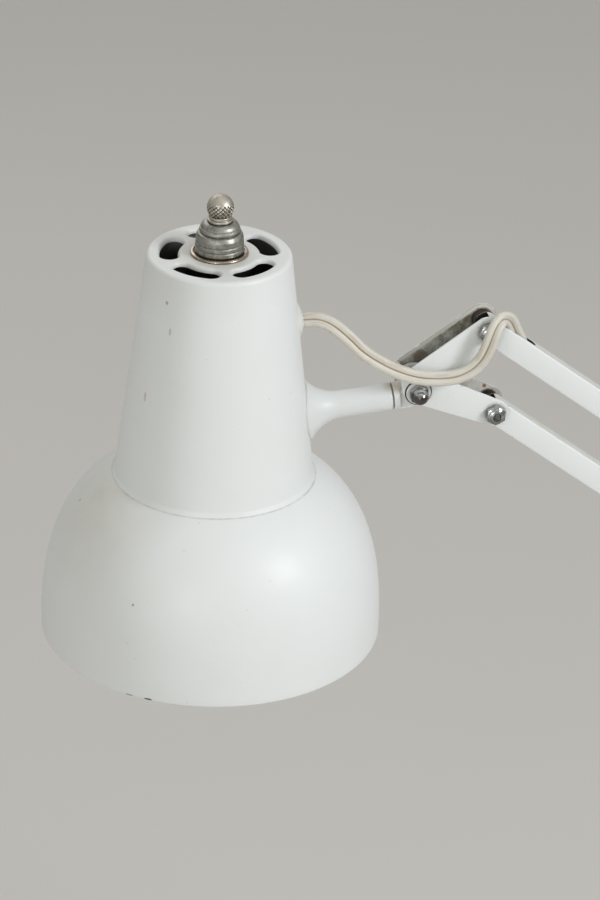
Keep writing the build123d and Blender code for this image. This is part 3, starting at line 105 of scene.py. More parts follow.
# Node helpers
class Nodes:
    """The nodes of a material or a world, with short calls for the kinds used here."""

    def __init__(self, owner, shader="Principled BSDF"):
        owner.use_nodes = True
        self.owner = owner
        self.tree = owner.node_tree
        self.shader = self.tree.nodes[shader]
        self.coords = self.node("TexCoord")
        self.place = self.coords.outputs["Object"]
        self.facing = self.coords.outputs["Normal"]

    def node(self, kind, **values):
        """A new node, with its inputs set or linked by name."""
        node = self.tree.nodes.new("ShaderNode" + kind)
        self.fill(node, values)
        return node

    def set(self, **values):
        """Sets or links the shader's inputs by name."""
        self.fill(self.shader, values)

    def fill(self, node, values):
        for name, value in values.items():
            self.put(node.inputs[name.replace("_", " ")], value)

    def put(self, socket, value):
        if isinstance(value, bpy.types.NodeSocket):
            self.tree.links.new(value, socket)
        else:
            socket.default_value = (*value, 1.0) if socket.type == "RGBA" else value

    def operate(self, kind, operation, values, output):
        node = self.node(kind)
        node.operation = operation
        for socket, value in zip(node.inputs, values):
            self.put(socket, value)
        return node.outputs[output]

    def math(self, operation, *values):
        return self.operate("Math", operation, values, "Value")

    def vector(self, operation, *values):
        output = "Value" if operation in ("LENGTH", "DOT_PRODUCT") else "Vector"
        return self.operate("VectorMath", operation, values, output)

    def times(self, *values):
        whole = values[0]
        for value in values[1:]:
            whole = self.math("MULTIPLY", whole, value)
        return whole

    def noise(self, scale, detail=2.0, rough=0.5, stretch=(1, 1, 1), shift=(0, 0, 0)):
        at = self.node("Mapping", Vector=self.place, Location=shift, Scale=stretch).outputs[0]
        return self.node("TexNoise", Vector=at, Scale=scale, Detail=detail, Roughness=rough).outputs["Fac"]

    def cells(self, scale, shift=(0, 0, 0)):
        at = self.node("Mapping", Vector=self.place, Location=shift).outputs[0]
        return self.node("TexVoronoi", Vector=at, Scale=scale).outputs

    def attribute(self, name):
        node = self.node("Attribute")
        node.attribute_name = name
        return node.outputs

    def ramp(self, value, low, high, to_low=0.0, to_high=1.0):
        node = self.node("MapRange", Value=value, From_Min=low, From_Max=high, To_Min=to_low, To_Max=to_high)
        return node.outputs["Result"]

    def mix(self, share, a, b):
        node = self.node("Mix", Factor=share)
        node.data_type = "RGBA"
        for socket, value in zip([s for s in node.inputs if s.type == "RGBA"], (a, b)):
            self.put(socket, value)
        return [s for s in node.outputs if s.type == "RGBA"][0]

    def bumped(self, height, strength, distance):
        """Adds the relief that ends a material, and returns the material."""
        bump = self.node("Bump", Height=height, Strength=strength, Distance=distance)
        self.set(Normal=bump.outputs["Normal"])
        return self.owner

    def away(self, at):
        """The way from a place in millimetres."""
        return self.vector("SUBTRACT", self.place, at * MM)

    def spot(self, at, radius, squash):
        """A mark with an uneven edge around a place, in millimetres."""
        far = self.vector("LENGTH", self.vector("MULTIPLY", self.away(at), squash))
        edge = self.math("ADD", far, self.times(self.noise(1400.0, 3.0, 0.6), 0.6 * radius * MM))
        return self.ramp(edge, 1.32 * radius * MM, 1.02 * radius * MM)

    def crevice(self, reach):
        """How shut in the surface is by what lies within some millimetres of it, from 0 to 1."""
        node = self.node("AmbientOcclusion", Distance=reach * MM)
        node.samples = 6
        return self.ramp(node.outputs["AO"], 0.85, 0.40)

    def upward(self, low=0.45, high=0.72):
        """Where the piece faces up as it is at rest, from 0 to 1."""
        return self.ramp(self.vector("DOT_PRODUCT", self.facing, (0, 0, 1)), low, high)


def new_material(name):
    return Nodes(bpy.data.materials.new(name))


WHITE = (0.745, 0.768, 0.758)
AGED = (0.640, 0.620, 0.540)
PALE_LIT = (0.600, 0.590, 0.530)
FILM = (0.500, 0.490, 0.420)
HAIR = (0.500, 0.480, 0.430)
# DUST_AND_SHADE, GRIME_AND_SHADE and SOOT_AND_SHADE serve both real dirt and painted shade in gaps, crevices
# and hollows.
DUST_AND_SHADE = (0.330, 0.320, 0.260)
SMEAR = (0.280, 0.210, 0.130)
GRIME_AND_SHADE = (0.150, 0.115, 0.075)
RUST = (0.200, 0.105, 0.045)
PRIMER = (0.470, 0.345, 0.220)
BROWN = (0.130, 0.078, 0.040)
SOOT_AND_SHADE = (0.020, 0.017, 0.014)


def white_paint(name, wear=0.5, chips=0.5, marks=(), dust=0.0, dirt=DUST_AND_SHADE, crevice=0.0, tops=False, also=()):
    """Old white enamel: a little uneven, with specks, hair scratches, small chips, gathered dirt, and painted
    shade in its crevices.
    """
    n = new_material(name)
    colour = n.mix(n.ramp(n.noise(9.0, 3.0), 0.42, 0.75, 0.0, 0.16 * wear + 0.03), WHITE, AGED)
    fine = n.noise(60.0, 3.0, shift=(1.7, 0.4, 2.2))
    colour = n.mix(n.ramp(fine, 0.40, 0.90, 0.0, 0.22 * wear), colour, AGED)
    if dust:
        film = n.noise(150.0, 5.0, 0.7, shift=(3.0, 1.0, 0.2))
        colour = n.mix(n.ramp(film, 0.30, 0.62, 0.35 * dust, dust), colour, dirt)
        blot = n.noise(430.0, 4.0, 0.7, shift=(0.3, 2.0, 1.2))
        colour = n.mix(n.ramp(blot, 0.58, 0.68, 0.0, dust), colour, GRIME_AND_SHADE)
    if tops:
        film = n.ramp(n.noise(120.0, 4.0, 0.6, shift=(0.2, 0.1, 4.0)), 0.25, 0.70, 0.45, 1.0)
        colour = n.mix(n.times(n.upward(), film, 0.55), colour, FILM)
        near = n.ramp(n.vector("DOT_PRODUCT", n.place, (0, 1, 0)), -2.0 * MM, -3.9 * MM)
        smear = n.ramp(n.noise(210.0, 4.0, 0.7, shift=(5.0, 0.0, 0.7)), 0.56, 0.64)
        colour = n.mix(n.times(n.upward(), near, smear, 0.8), colour, SMEAR)
    speck = n.cells(330.0)
    dot = n.times(n.ramp(speck["Distance"], 0.16, 0.09), n.ramp(speck["Color"], 0.86, 0.87))
    colour = n.mix(n.times(dot, 0.55 * wear), colour, RUST)
    flake = n.cells(75.0, shift=(0.13, 0.07, 0.31))
    ragged = n.math("ADD", flake["Distance"], n.times(n.noise(900.0, 3.0), 0.12))
    few = 0.93 - 0.05 * chips
    chip = n.times(n.ramp(ragged, 0.150, 0.125), n.ramp(flake["Color"], few, few + 0.01))
    colour = n.mix(n.times(chip, 0.55 * wear), colour, PRIMER)
    scratch = n.noise(700.0, stretch=(1.0, 1.0, 0.05), shift=(0.5, 0.1, 0.0))
    line = n.times(n.ramp(scratch, 0.70, 0.73), n.ramp(n.noise(22.0, 1.0), 0.55, 0.7))
    colour = n.mix(n.times(line, 0.35 * wear), colour, HAIR)
    height = n.math("SUBTRACT", n.times(n.noise(420.0), 0.35), n.times(chip, 0.8))
    for more in also:
        colour = more(n, colour)
    for at, radius, tone, strength, squash in marks:
        spot = n.spot(at, radius, squash)
        colour = n.mix(n.times(spot, strength), colour, tone)
        height = n.math("SUBTRACT", height, n.times(spot, 0.5))
    # Dirt and painted shade where the surface is shut in by what lies near it.
    if crevice:
        held_dirt_and_shade = n.times(n.crevice(2.2), n.ramp(n.noise(260.0, 3.0, 0.6), 0.25, 0.6, 0.5, 1.0), crevice)
        colour = n.mix(held_dirt_and_shade, colour, GRIME_AND_SHADE)
    rough = n.ramp(n.noise(14.0, 4.0, 0.6, shift=(0.0, 3.1, 0.0)), 0.30, 0.75, 0.40, 0.50)
    n.set(Base_Color=colour, Roughness=rough, Specular_IOR_Level=0.42, Coat_Weight=0.03, Coat_Roughness=0.16)
    return n.bumped(height, 0.10, 0.0004)


def seam_dirt_and_shade(n, colour):
    """A thin broken line of dirt and painted shade round the head's axis, in the crease where the housing
    meets the shade.
    """
    out = n.vector("LENGTH", n.vector("MULTIPLY", n.away(HEAD), (1, 1, 0)))
    off = n.math("ABSOLUTE", n.math("SUBTRACT", out, SEAM_R * MM))
    broken = n.ramp(n.noise(130.0, 4.0, 0.7, shift=(0.9, 0.0, 0.0)), 0.42, 0.68, 0.14, 0.42)
    return n.mix(n.times(n.ramp(off, 0.80 * MM, 0.10 * MM), broken), colour, GRIME_AND_SHADE)


def tone_round(at, radius, tone, strength):
    """A soft blend towards a tone round a place, used for dust, stains, painted shade and paler patches."""
    def film(n, colour):
        near = n.ramp(n.vector("LENGTH", n.away(at)), radius * MM, 0.15 * radius * MM)
        uneven = n.ramp(n.noise(80.0, 4.0, 0.6, shift=(0.0, 1.3, 0.6)), 0.3, 0.7, 0.7, 1.0)
        return n.mix(n.times(near, uneven, strength), colour, tone)
    return film


def lit_band_and_shade_ring(n, colour):
    """A painted light: the paler strip along the upper limb's edge and round its end, where light reaches in
    over the edge into the shaded gap between the cheeks.
    """
    way = (-0.594, 0.0, 0.805)
    inner, outer, ring_r = (UPPER_R - 1.6) * MM, (UPPER_R - 0.8) * MM, (UPPER_R - 1.7) * MM
    offset = n.vector("MULTIPLY", n.away(PIVOT_U), (1, 0, 1))
    ragged = n.times(n.noise(420.0, 4.0, 0.6), 1.2 * MM)
    side = n.math("ADD", n.vector("DOT_PRODUCT", offset, way), ragged)
    end = n.math("ADD", n.vector("LENGTH", offset), ragged)
    beyond = n.ramp(n.vector("DOT_PRODUCT", offset, (way[2], 0, -way[0])), 0.0, 2.0 * MM)
    unshaded = n.math("MAXIMUM", n.ramp(side, inner, outer), n.times(n.ramp(end, inner, outer), beyond))
    colour = n.mix(n.times(unshaded, 0.85), colour, PALE_LIT)
    # A dark ring round the end: painted shade.
    ring = n.math("ABSOLUTE", n.math("SUBTRACT", end, ring_r))
    return n.mix(n.times(n.ramp(ring, 0.5 * MM, 0.15 * MM), beyond, 0.7), colour, GRIME_AND_SHADE)


def inside_shade_paint():
    """The housing's inside: pale near the vents and near the shade, and black between them, a painted shade
    where light does not reach.
    """
    n = new_material("housing_inside_painted_shade")
    height = n.vector("DOT_PRODUCT", n.away(HEAD), (0, 0, 1))
    upper = n.ramp(height, (HOUSING_TOP - 17) * MM, (HOUSING_TOP - 4) * MM)
    lower = n.ramp(height, 150 * MM, 112 * MM)
    patchy = n.ramp(n.noise(90.0, 4.0, 0.6), 0.3, 0.7, 0.75, 1.0)
    colour = n.mix(n.times(upper, patchy), SOOT_AND_SHADE, (0.26, 0.26, 0.24))
    colour = n.mix(n.times(lower, patchy), colour, (0.60, 0.60, 0.57))
    n.set(Base_Color=colour, Roughness=0.65, Specular_IOR_Level=0.3)
    return n.bumped(n.noise(420.0), 0.10, 0.0004)


def worn_edge(name, brown):
    """The paint along an edge, rubbed through to brown in places."""
    n = new_material(name)
    rub = n.noise(230.0, 5.0, 0.7, shift=(0.7, 0.2, 1.1))
    bare = 0.66 - 0.29 * brown
    colour = n.mix(n.ramp(rub, bare, bare + 0.12, 0.0, 0.92), WHITE, BROWN)
    n.set(Base_Color=colour, Roughness=n.ramp(rub, 0.3, 0.7, 0.35, 0.6))
    return n.bumped(rub, 0.10, 0.0003)


def metal(name, colour, rough, tarnish, dull, scale=350.0, crevice=0.0, streak=(1, 1, 1), under=None):
    """Worn metal, tarnished in clouds and pits, with dirt and painted shade in its crevices, and a painted
    reflection of dark surroundings where it faces down.
    """
    n = new_material(name)
    cloud = n.noise(scale * 0.5, 5.0, 0.65)
    tint = n.mix(n.ramp(cloud, 0.46, 0.70, 0.0, tarnish), colour, dull)
    pit = n.noise(scale * 2.3, 3.0, 0.7, shift=(2.0, 0.0, 1.0))
    tint = n.mix(n.ramp(pit, 0.62, 0.72, 0.0, tarnish * 0.8), tint, dull)
    brush = n.noise(scale, 3.0, 0.6, stretch=streak)
    shine = n.ramp(brush, 0.25, 0.75, rough * 0.7, rough * 1.4)
    # Darker and rougher where it faces down: a painted reflection of dark surroundings.
    if under:
        unshaded, darkened, strength = under
        below = n.times(n.upward(unshaded, darkened), strength)
        tint = n.mix(below, tint, (0.060, 0.052, 0.045))
        shine = n.math("ADD", shine, n.times(below, 0.22))
    # Dirt and painted shade in its crevices.
    if crevice:
        tint = n.mix(n.times(n.crevice(1.2), crevice), tint, SOOT_AND_SHADE)
    n.set(Base_Color=tint, Metallic=1.0, Roughness=shine)
    return n.bumped(n.math("ADD", brush, n.times(pit, 0.5)), 0.06, 0.0003)


def flex_material():
    """Off-white twin flex with dirt and painted shade gathered in the groove between its cores, and dirt
    wiped along them.
    """
    n = new_material("flex_pvc")
    patch = n.noise(55.0, 4.0, 0.6)
    colour = n.mix(n.ramp(patch, 0.42, 0.74, 0.0, 0.45), (0.630, 0.608, 0.540), (0.535, 0.490, 0.395))
    smudge = n.noise(240.0, 4.0, 0.7, shift=(1.0, 1.0, 0.0))
    colour = n.mix(n.ramp(smudge, 0.60, 0.78, 0.0, 0.4), colour, (0.42, 0.35, 0.25))
    run = n.vector("MULTIPLY", n.attribute("lay")["Vector"], (60.0, 900.0, 900.0))
    wiped = n.node("TexNoise", Vector=run, Scale=1.0, Detail=4.0, Roughness=0.65).outputs["Fac"]
    colour = n.mix(n.ramp(wiped, 0.50, 0.72, 0.0, 0.55), colour, (0.40, 0.31, 0.20))
    held_dirt_and_shade = n.times(n.ramp(n.attribute("groove")["Fac"], 0.30, 0.80), n.ramp(patch, 0.25, 0.6, 0.60, 1.0))
    colour = n.mix(held_dirt_and_shade, colour, (0.260, 0.180, 0.100))
    n.set(Base_Color=colour, Roughness=n.ramp(smudge, 0.3, 0.8, 0.38, 0.55), Specular_IOR_Level=0.45,
          Subsurface_Weight=0.04, Subsurface_Radius=(0.004, 0.003, 0.002))
    return n.bumped(n.noise(900.0), 0.08, 0.0002)


def plastic(name, colour, shade, rough):
    n = new_material(name)
    tone = n.mix(n.ramp(n.noise(90.0, 4.0, 0.6), 0.40, 0.75, 0.0, 0.6), colour, shade)
    n.set(Base_Color=tone, Roughness=n.ramp(n.noise(300.0, 3.0), 0.3, 0.7, rough * 0.8, rough * 1.2))
    return n.bumped(n.noise(1500.0), 0.08, 0.0002)


def felt_material():
    n = new_material("felt_fibre")
    fibre = n.noise(1800.0, 5.0, 0.8)
    n.set(Base_Color=n.mix(fibre, (0.012, 0.02, 0.014), (0.035, 0.05, 0.035)), Roughness=0.95)
    return n.bumped(fibre, 0.6, 0.0006)


def glass_material():
    """A frosted lamp glass with a soft white inner coat."""
    n = new_material("bulb_frost")
    colour = n.mix(n.ramp(n.noise(35.0, 3.0), 0.3, 0.7), (0.86, 0.86, 0.83), (0.93, 0.93, 0.91))
    n.set(Base_Color=colour, Roughness=0.22, Transmission_Weight=0.35, IOR=1.5)
    return n.bumped(n.noise(700.0), 0.03, 0.0002)


ROUND = (1, 1, 1)
LONG = (1, 1, 0.35)
HOUSING_MARKS = (
    (on_head(-27.9, -22.4, 184.4), 1.0, PRIMER, 0.85, ROUND),
    (on_head(-26.8, -26.0, 171.2), 0.8, PRIMER, 0.55, LONG),
    (on_head(-37.0, -19.2, 134.6), 1.0, PRIMER, 0.50, LONG),
)
SHADE_MARKS = (
    (on_head(-64.5, 1.5, 70.3), 0.9, PRIMER, 0.8, ROUND),
    (on_head(-47.6, -60.7, 46.7), 0.7, GRIME_AND_SHADE, 0.7, ROUND),
    (on_head(-41.4, -71.3, 1.0), 0.8, SOOT_AND_SHADE, 0.9, (0.35, 0.35, 1.4)),
    (on_head(-49.5, -66.0, 0.8), 0.7, GRIME_AND_SHADE, 0.6, (0.3, 0.3, 1.4)),
)
# On the far cheek's inner face: black marks round the upper pivot and by the lower one, painted shade of the
# gaps behind the bars; a rust speck; a dark mark by the web.
CHEEK_MARKS = (
    (PIVOT_U + Vector((0, REAR_IN, 0)), 5.6, SOOT_AND_SHADE, 0.9, ROUND),
    (by_tilt(38.0, REAR_IN, -9.9), 3.0, SOOT_AND_SHADE, 0.95, (0.75, 1, 1.3)),
    (by_tilt(36.1, REAR_IN, -6.1), 1.1, RUST, 0.9, ROUND),
    (by_tilt(4.0, REAR_IN, 11.0), 4.5, GRIME_AND_SHADE, 0.8, ROUND),
)
# Dark halos round the pivot nuts on the front cheek, dirt and painted shade.
FRONT_MARKS = (
    (PIVOT_U + Vector((0, FRONT, 0)), 6.3, DUST_AND_SHADE, 0.6, ROUND),
    (PIVOT_V + Vector((0, FRONT, 0)), 6.3, DUST_AND_SHADE, 0.6, ROUND),
)
PAINT = white_paint("enamel_plain", 0.45, crevice=0.6)
# The shade is darker and warmer towards its left, a painted shade with some dust.
PAINT_SHADE = white_paint("enamel_shade", 0.42, marks=SHADE_MARKS, also=(
    seam_dirt_and_shade, tone_round(on_head(-60, -12, 84), 54.0, (0.48, 0.43, 0.33), 0.46),
    tone_round(on_head(-78, -30, 25), 60.0, (0.60, 0.57, 0.47), 0.12),
))
# The top plate darker towards a grey-brown, and browner round the cap nut.
PAINT_HOUSING = white_paint("enamel_housing", 0.42, marks=HOUSING_MARKS, crevice=0.35, also=(
    tone_round(on_head(-4, 0, HOUSING_TOP), 42.0, (0.50, 0.48, 0.42), 0.50),
    tone_round(on_head(0, 0, HOUSING_TOP), 20.0, (0.36, 0.30, 0.22), 0.45),
))
HOUSING_INSIDE_SHADE = inside_shade_paint()
NECK_STAIN = tone_round(by_tilt(-11.6, -1.0, 3.0), 6.0, (0.40, 0.29, 0.17), 0.85)
# The neck darkened towards grey along its length, a painted shade, with a brown stain by the knuckle.
PAINT_NECK = white_paint("enamel_neck", 0.5, crevice=0.6, also=(
    tone_round(by_tilt(-30, 0, -5), 80.0, (0.59, 0.61, 0.60), 0.55), NECK_STAIN,
))
# A brown stain and painted shade where the collar meets the cheek's rounded end.
PAINT_KNUCKLE = white_paint("enamel_knuckle", 0.5, dust=0.03, crevice=0.12, also=(
    tone_round(by_tilt(-7.6, -4.7, 2.2), 4.6, (0.30, 0.25, 0.17), 0.85), NECK_STAIN,
))
PAINT_BRACKET = white_paint("enamel_bracket", 0.4, marks=FRONT_MARKS, crevice=0.5)
# The cheeks' inner faces: dust and painted shade from the gap between them, a painted lit strip along the
# upper limb, and paler towards the lower limb.
PAINT_CHEEK = white_paint(
    "enamel_cheek_dirt_and_shade", 1.0, 1.0, marks=CHEEK_MARKS, dust=0.95, dirt=(0.115, 0.106, 0.066), crevice=0.8,
    also=(lit_band_and_shade_ring, tone_round(by_tilt(35.0, REAR_IN, -8.0), 17.0, (0.68, 0.67, 0.61), 0.97)),
)
PAINT_BAR = white_paint("enamel_bar", 0.6, 0.7, tops=True, crevice=0.6)
PAINT_WORN = white_paint("enamel_worn", 0.9, 1.0, dust=0.2, crevice=0.8)
PAINT_FOOT = white_paint("enamel_foot", 0.55, 0.8, crevice=0.6)
EDGE = worn_edge("enamel_edge_worn", 1.0)
EDGE_LIGHT = worn_edge("enamel_edge_light", 0.15)
TURNED = (0.03, 0.03, 1.6)
# The chromes darken where they face down, a painted reflection of dark surroundings.
CHROME = metal("chrome_old", (0.56, 0.57, 0.58), 0.11, 0.55, (0.12, 0.11, 0.09), 500.0, 0.95,
               under=(0.22, -0.22, 0.6))
CHROME_DOME = metal("chrome_acorn", (0.60, 0.61, 0.63), 0.09, 0.35, (0.12, 0.10, 0.08), 500.0, 0.95,
                    under=(0.66, 0.40, 0.92))
ZINC = metal("zinc_dull", (0.46, 0.46, 0.44), 0.36, 0.60, (0.17, 0.155, 0.125), 900.0, 0.7, TURNED)
STEEL = metal("spring_wire", (0.52, 0.53, 0.55), 0.26, 0.3, (0.20, 0.16, 0.12))
NICKEL = metal("nickel_brown", (0.46, 0.39, 0.31), 0.28, 0.7, (0.17, 0.12, 0.08), crevice=0.8)
BRASS = metal("brass_aged", (0.62, 0.50, 0.30), 0.30, 0.5, (0.24, 0.17, 0.09))
ZINC_CAP = metal("zinc_turned", (0.40, 0.395, 0.355), 0.44, 0.75, (0.14, 0.13, 0.105), 700.0, 0.9, TURNED)
KNOB_METAL = metal("knob_nickel", (0.58, 0.54, 0.47), 0.42, 0.70, (0.24, 0.20, 0.15), 500.0, 0.95)
TIP_METAL = metal("bolt_tip_dirty", (0.20, 0.20, 0.185), 0.34, 0.90, (0.04, 0.035, 0.03), 700.0, 0.9)
# Dark rusty steel, also standing for painted shade in the gaps behind the tilt washer and the bars.
RUST_AND_SHADE = metal("steel_rust_and_shade", (0.10, 0.08, 0.065), 0.60, 0.8, (0.035, 0.022, 0.014), 300.0)
FLEX = flex_material()
PLASTIC = plastic("white_pvc", (0.71, 0.72, 0.69), (0.60, 0.58, 0.51), 0.35)
BAKELITE = plastic("bakelite_dark", (0.012, 0.011, 0.010), (0.022, 0.018, 0.015), 0.35)
# Near-black for the slot and hollow walls of the bars, a painted shade inside them.
SHADE_BLACK = plastic("painted_shade_inside", (0.006, 0.005, 0.004), (0.012, 0.010, 0.008), 0.8)
FELT = felt_material()
GLASS = glass_material()


# Mesh helpers, in millimetres
def added(name, data):
    obj = bpy.data.objects.new(name, data)
    bpy.context.scene.collection.objects.link(obj)
    return obj


def tidied(mesh):
    """Merges doubled vertices and turns the faces outwards."""
    work = bmesh.new()
    work.from_mesh(mesh)
    bmesh.ops.remove_doubles(work, verts=work.verts, dist=1e-6)
    bmesh.ops.recalc_face_normals(work, faces=work.faces)
    work.to_mesh(mesh)
    work.free()


def smooth(obj, angle):
    obj.data.shade_smooth()
    obj.data.set_sharp_from_angle(angle=math.radians(angle))
    return obj


def build(name, verts, faces, matrix, material, angle=32.0):
    mesh = bpy.data.meshes.new(name)
    mesh.from_pydata([tuple(v) for v in verts], [], faces)
    mesh.transform(matrix)
    mesh.transform(Matrix.Scale(MM, 4))
    tidied(mesh)
    mesh.materials.append(material)
    return smooth(added(name, mesh), angle)


def applied(obj, angle):
    mesh = bpy.data.meshes.new_from_object(obj.evaluated_get(bpy.context.evaluated_depsgraph_get()))
    obj.modifiers.clear()
    old = obj.data
    obj.data = mesh
    bpy.data.meshes.remove(old)
    return smooth(obj, angle)


def bevelled(obj, width, segments, edge_paint):
    """Rounds the sharp edges, with a material of their own where one is given."""
    modifier = obj.modifiers.new("edge", "BEVEL")
    modifier.width = width * MM
    modifier.segments = segments
    modifier.limit_method = "ANGLE"
    modifier.angle_limit = math.radians(50)
    if edge_paint is not None:
        obj.data.materials.append(edge_paint)
        modifier.material = len(obj.data.materials) - 1
    return applied(obj, 30.0)


def cut(obj, cutter):
    modifier = obj.modifiers.new("cut", "BOOLEAN")
    modifier.operation = "DIFFERENCE"
    modifier.solver = "EXACT"
    modifier.material_mode = "TRANSFER"
    modifier.object = cutter
    applied(obj, 32.0)
    bpy.data.objects.remove(cutter)


def painted(obj, material, chosen):
    """Gives another material to the faces whose middle, in millimetres, and normal are chosen."""
    obj.data.materials.append(material)
    index = len(obj.data.materials) - 1
    for face in obj.data.polygons:
        if chosen(face.center / MM, face.normal):
            face.material_index = index
    return obj


def joined(name, pieces):
    """Several meshes as one object, each with its own materials."""
    whole = bmesh.new()
    materials = []
    for piece in pieces:
        shift = len(materials)
        materials += list(piece.data.materials)
        first = len(whole.faces)
        whole.from_mesh(piece.data)
        whole.faces.ensure_lookup_table()
        for face in whole.faces[first:]:
            face.material_index += shift
    mesh = bpy.data.meshes.new(name)
    whole.to_mesh(mesh)
    whole.free()
    for material in materials:
        mesh.materials.append(material)
    for piece in pieces:
        old = piece.data
        bpy.data.objects.remove(piece)
        bpy.data.meshes.remove(old)
    return added(name, mesh)


def place(obj, body, slot, *nodes):
    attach(obj, body)
    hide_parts(*nodes)
    return obj


def skinned(rings, capped=False):
    """Vertices and faces of a skin over closed rings of points. A ring of one point is a tip."""
    verts, faces, spans = [], [], []
    for ring in rings:
        spans.append(range(len(verts), len(verts) + len(ring)))
        verts += ring
    for low, high in zip(spans, spans[1:]):
        count = max(len(low), len(high))
        for i in range(count):
            j = (i + 1) % count
            if len(low) == 1:
                faces.append((low[0], high[j], high[i]))
            elif len(high) == 1:
                faces.append((low[i], low[j], high[0]))
            else:
                faces.append((low[i], low[j], high[j], high[i]))
    if capped:
        faces += [tuple(spans[0]), tuple(spans[-1])]
    return verts, faces


def prism(name, points, low, high, matrix, material):
    """A block on a closed outline of (x, y), between two heights."""
    rings = [[(x, y, z) for x, y in points] for z in (low, high)]
    return build(name, *skinned(rings, True), matrix, material)


def ringed(rows, segments=96):
    """A skin over rings of (radius, height). One pair is a plain ring, or a tip if it is on the axis."""
    rings = []
    for row in rows:
        if isinstance(row, tuple):
            row = [row] * (segments if row[0] > 0 else 1)
        rings.append([(*polar(radius, 360 * i / segments), height) for i, (radius, height) in enumerate(row)])
    return skinned(rings)


def sweep(spots, outs, section):
    """A skin over a section of (across, out) along a line, turned to a direction at each spot."""
    last = len(spots) - 1
    rings = []
    for i, (spot, out) in enumerate(zip(spots, outs)):
        ahead = (spots[min(i + 1, last)] - spots[max(i - 1, 0)]).normalized()
        out = (out - ahead * out.dot(ahead)).normalized()
        across = ahead.cross(out)
        rings.append([spot + across * u + out * v for u, v in section])
    return skinned(rings, True)


def lathe(name, profile, matrix, material, segments=96, closed=False):
    """A turned piece from an outline of (radius, height)."""
    rows = profile + profile[:1] if closed else profile
    return build(name, *ringed(rows, segments), matrix, material)


def rounded(corners, steps=4):
    """An outline of (u, v, round) corners with each corner turned into an arc of that radius."""
    points = []
    count = len(corners)
    for i, (u, v, radius) in enumerate(corners):
        if radius <= 0 or i in (0, count - 1):
            points.append((u, v))
        else:
            points += arc_corner(corners[i - 1][:2], (u, v), corners[i + 1][:2], radius, steps)
    return points


def arc_corner(before, here, after, radius, steps):
    """The arc that rounds one corner, or a smaller one where the sides are too short for it."""
    here = Vector(here)
    a, b = Vector(before) - here, Vector(after) - here
    a_way, b_way = a.normalized(), b.normalized()
    half = math.acos(max(-1, min(1, a_way.dot(b_way)))) / 2
    back = min(radius / math.tan(half), 0.49 * a.length, 0.49 * b.length)
    radius = back * math.tan(half)
    middle = here + (a_way + b_way).normalized() * (radius / math.sin(half))
    start, end = here + a_way * back - middle, here + b_way * back - middle
    first = math.atan2(start.y, start.x)
    turn = (math.atan2(end.y, end.x) - first + math.pi) % (2 * math.pi) - math.pi
    return around(middle, radius, first, turn, steps)


def around(centre, radius, first, turn, steps):
    """Points on an arc from an angle through a turn, in radians."""
    angles = [first + turn * i / steps for i in range(steps + 1)]
    return [(centre[0] + radius * math.cos(a), centre[1] + radius * math.sin(a)) for a in angles]


def tangent(a, b):
    """The outward angle of the outer tangent from one circle of (x, z, radius) to the next, anticlockwise."""
    way = Vector(b[:2]) - Vector(a[:2])
    return math.atan2(way.y, way.x) - math.pi / 2 + math.asin((a[2] - b[2]) / way.length)


def arc(centre, radius, start, end, step=9.0):
    """Points on an arc between two angles, anticlockwise, in steps of some degrees."""
    turn = (end - start) % (2 * math.pi)
    return around(centre, radius, start, turn, max(1, math.ceil(math.degrees(turn) / step)))


def wrapped(circles):
    """The arcs of a belt around circles given anticlockwise as (x, z, radius)."""
    following = circles[1:] + circles[:1]
    before = circles[-1:] + circles[:-1]
    return [arc(c, c[2], tangent(b, c), tangent(c, d)) for b, c, d in zip(before, circles, following)]


# Local X stays, local Y runs up the arm plane and local Z runs towards the viewer
UPRIGHT = Matrix.Rotation(math.radians(90), 4, "X")


def plate(name, outline, y_from, y_to, material, edge, segments=2, matrix=Matrix(), edge_paint=None):
    """A flat piece in the arm plane with rounded edges."""
    block = prism(name, outline, -y_to, -y_from, matrix @ UPRIGHT, material)
    return bevelled(block, edge, segments, edge_paint)


def facing(at, y, back=False):
    """A frame on a pivot, with local +Z towards the viewer, or away from them."""
    turn = Matrix.Rotation(math.radians(-90 if back else 90), 4, "X")
    return Matrix.Translation((at.x, y, at.z)) @ turn


# Head: shade, housing, neck and finial
SHADE_R, SHADE_SPAN, SHADE_DROP, SHADE_POWER = 82.5, 93.1, 0.84, 2.696
SHADE_WALL = 0.9
HOUSING_R = 47.9
SPUN = 224


def shade_point(radius, span, turn):
    bulge = 2 / SHADE_POWER
    return (radius * math.cos(turn) ** bulge, span * math.sin(turn) ** bulge - SHADE_DROP)


def housing_r(z):
    return HOUSING_R - (z - HOUSING_BASE) * math.tan(math.radians(HOUSING_ANGLE))


def shade_piece():
    """The bell with its rolled rim, and the collar at its top inside the housing."""
    collar_z, gap, bead_r = 86.5, 1.05, 1.1
    top_r = housing_r(collar_z) - gap

    def skin(inset, end_r):
        radius, span = SHADE_R - inset, SHADE_SPAN - inset
        first = math.asin(((bead_r + SHADE_DROP) / span) ** (SHADE_POWER / 2))
        last = math.acos((end_r / radius) ** (SHADE_POWER / 2))
        count = 56
        return [shade_point(radius, span, first + (last - first) * i / count) for i in range(count + 1)]

    outer, inner = skin(0, top_r), skin(SHADE_WALL, top_r - SHADE_WALL)
    bead = around((SHADE_R - bead_r, bead_r), bead_r, math.radians(200), math.radians(160), 9)
    collar = 11.0
    rise = outer[-1][1] + collar
    top_in = top_r - collar * math.tan(math.radians(HOUSING_ANGLE))
    profile = bead[:-1] + outer + [(top_in, rise), (top_in - SHADE_WALL, rise)] + inner[::-1]
    return lathe("shade_spun", profile, HEAD_FRAME, PAINT_SHADE, SPUN, closed=True)


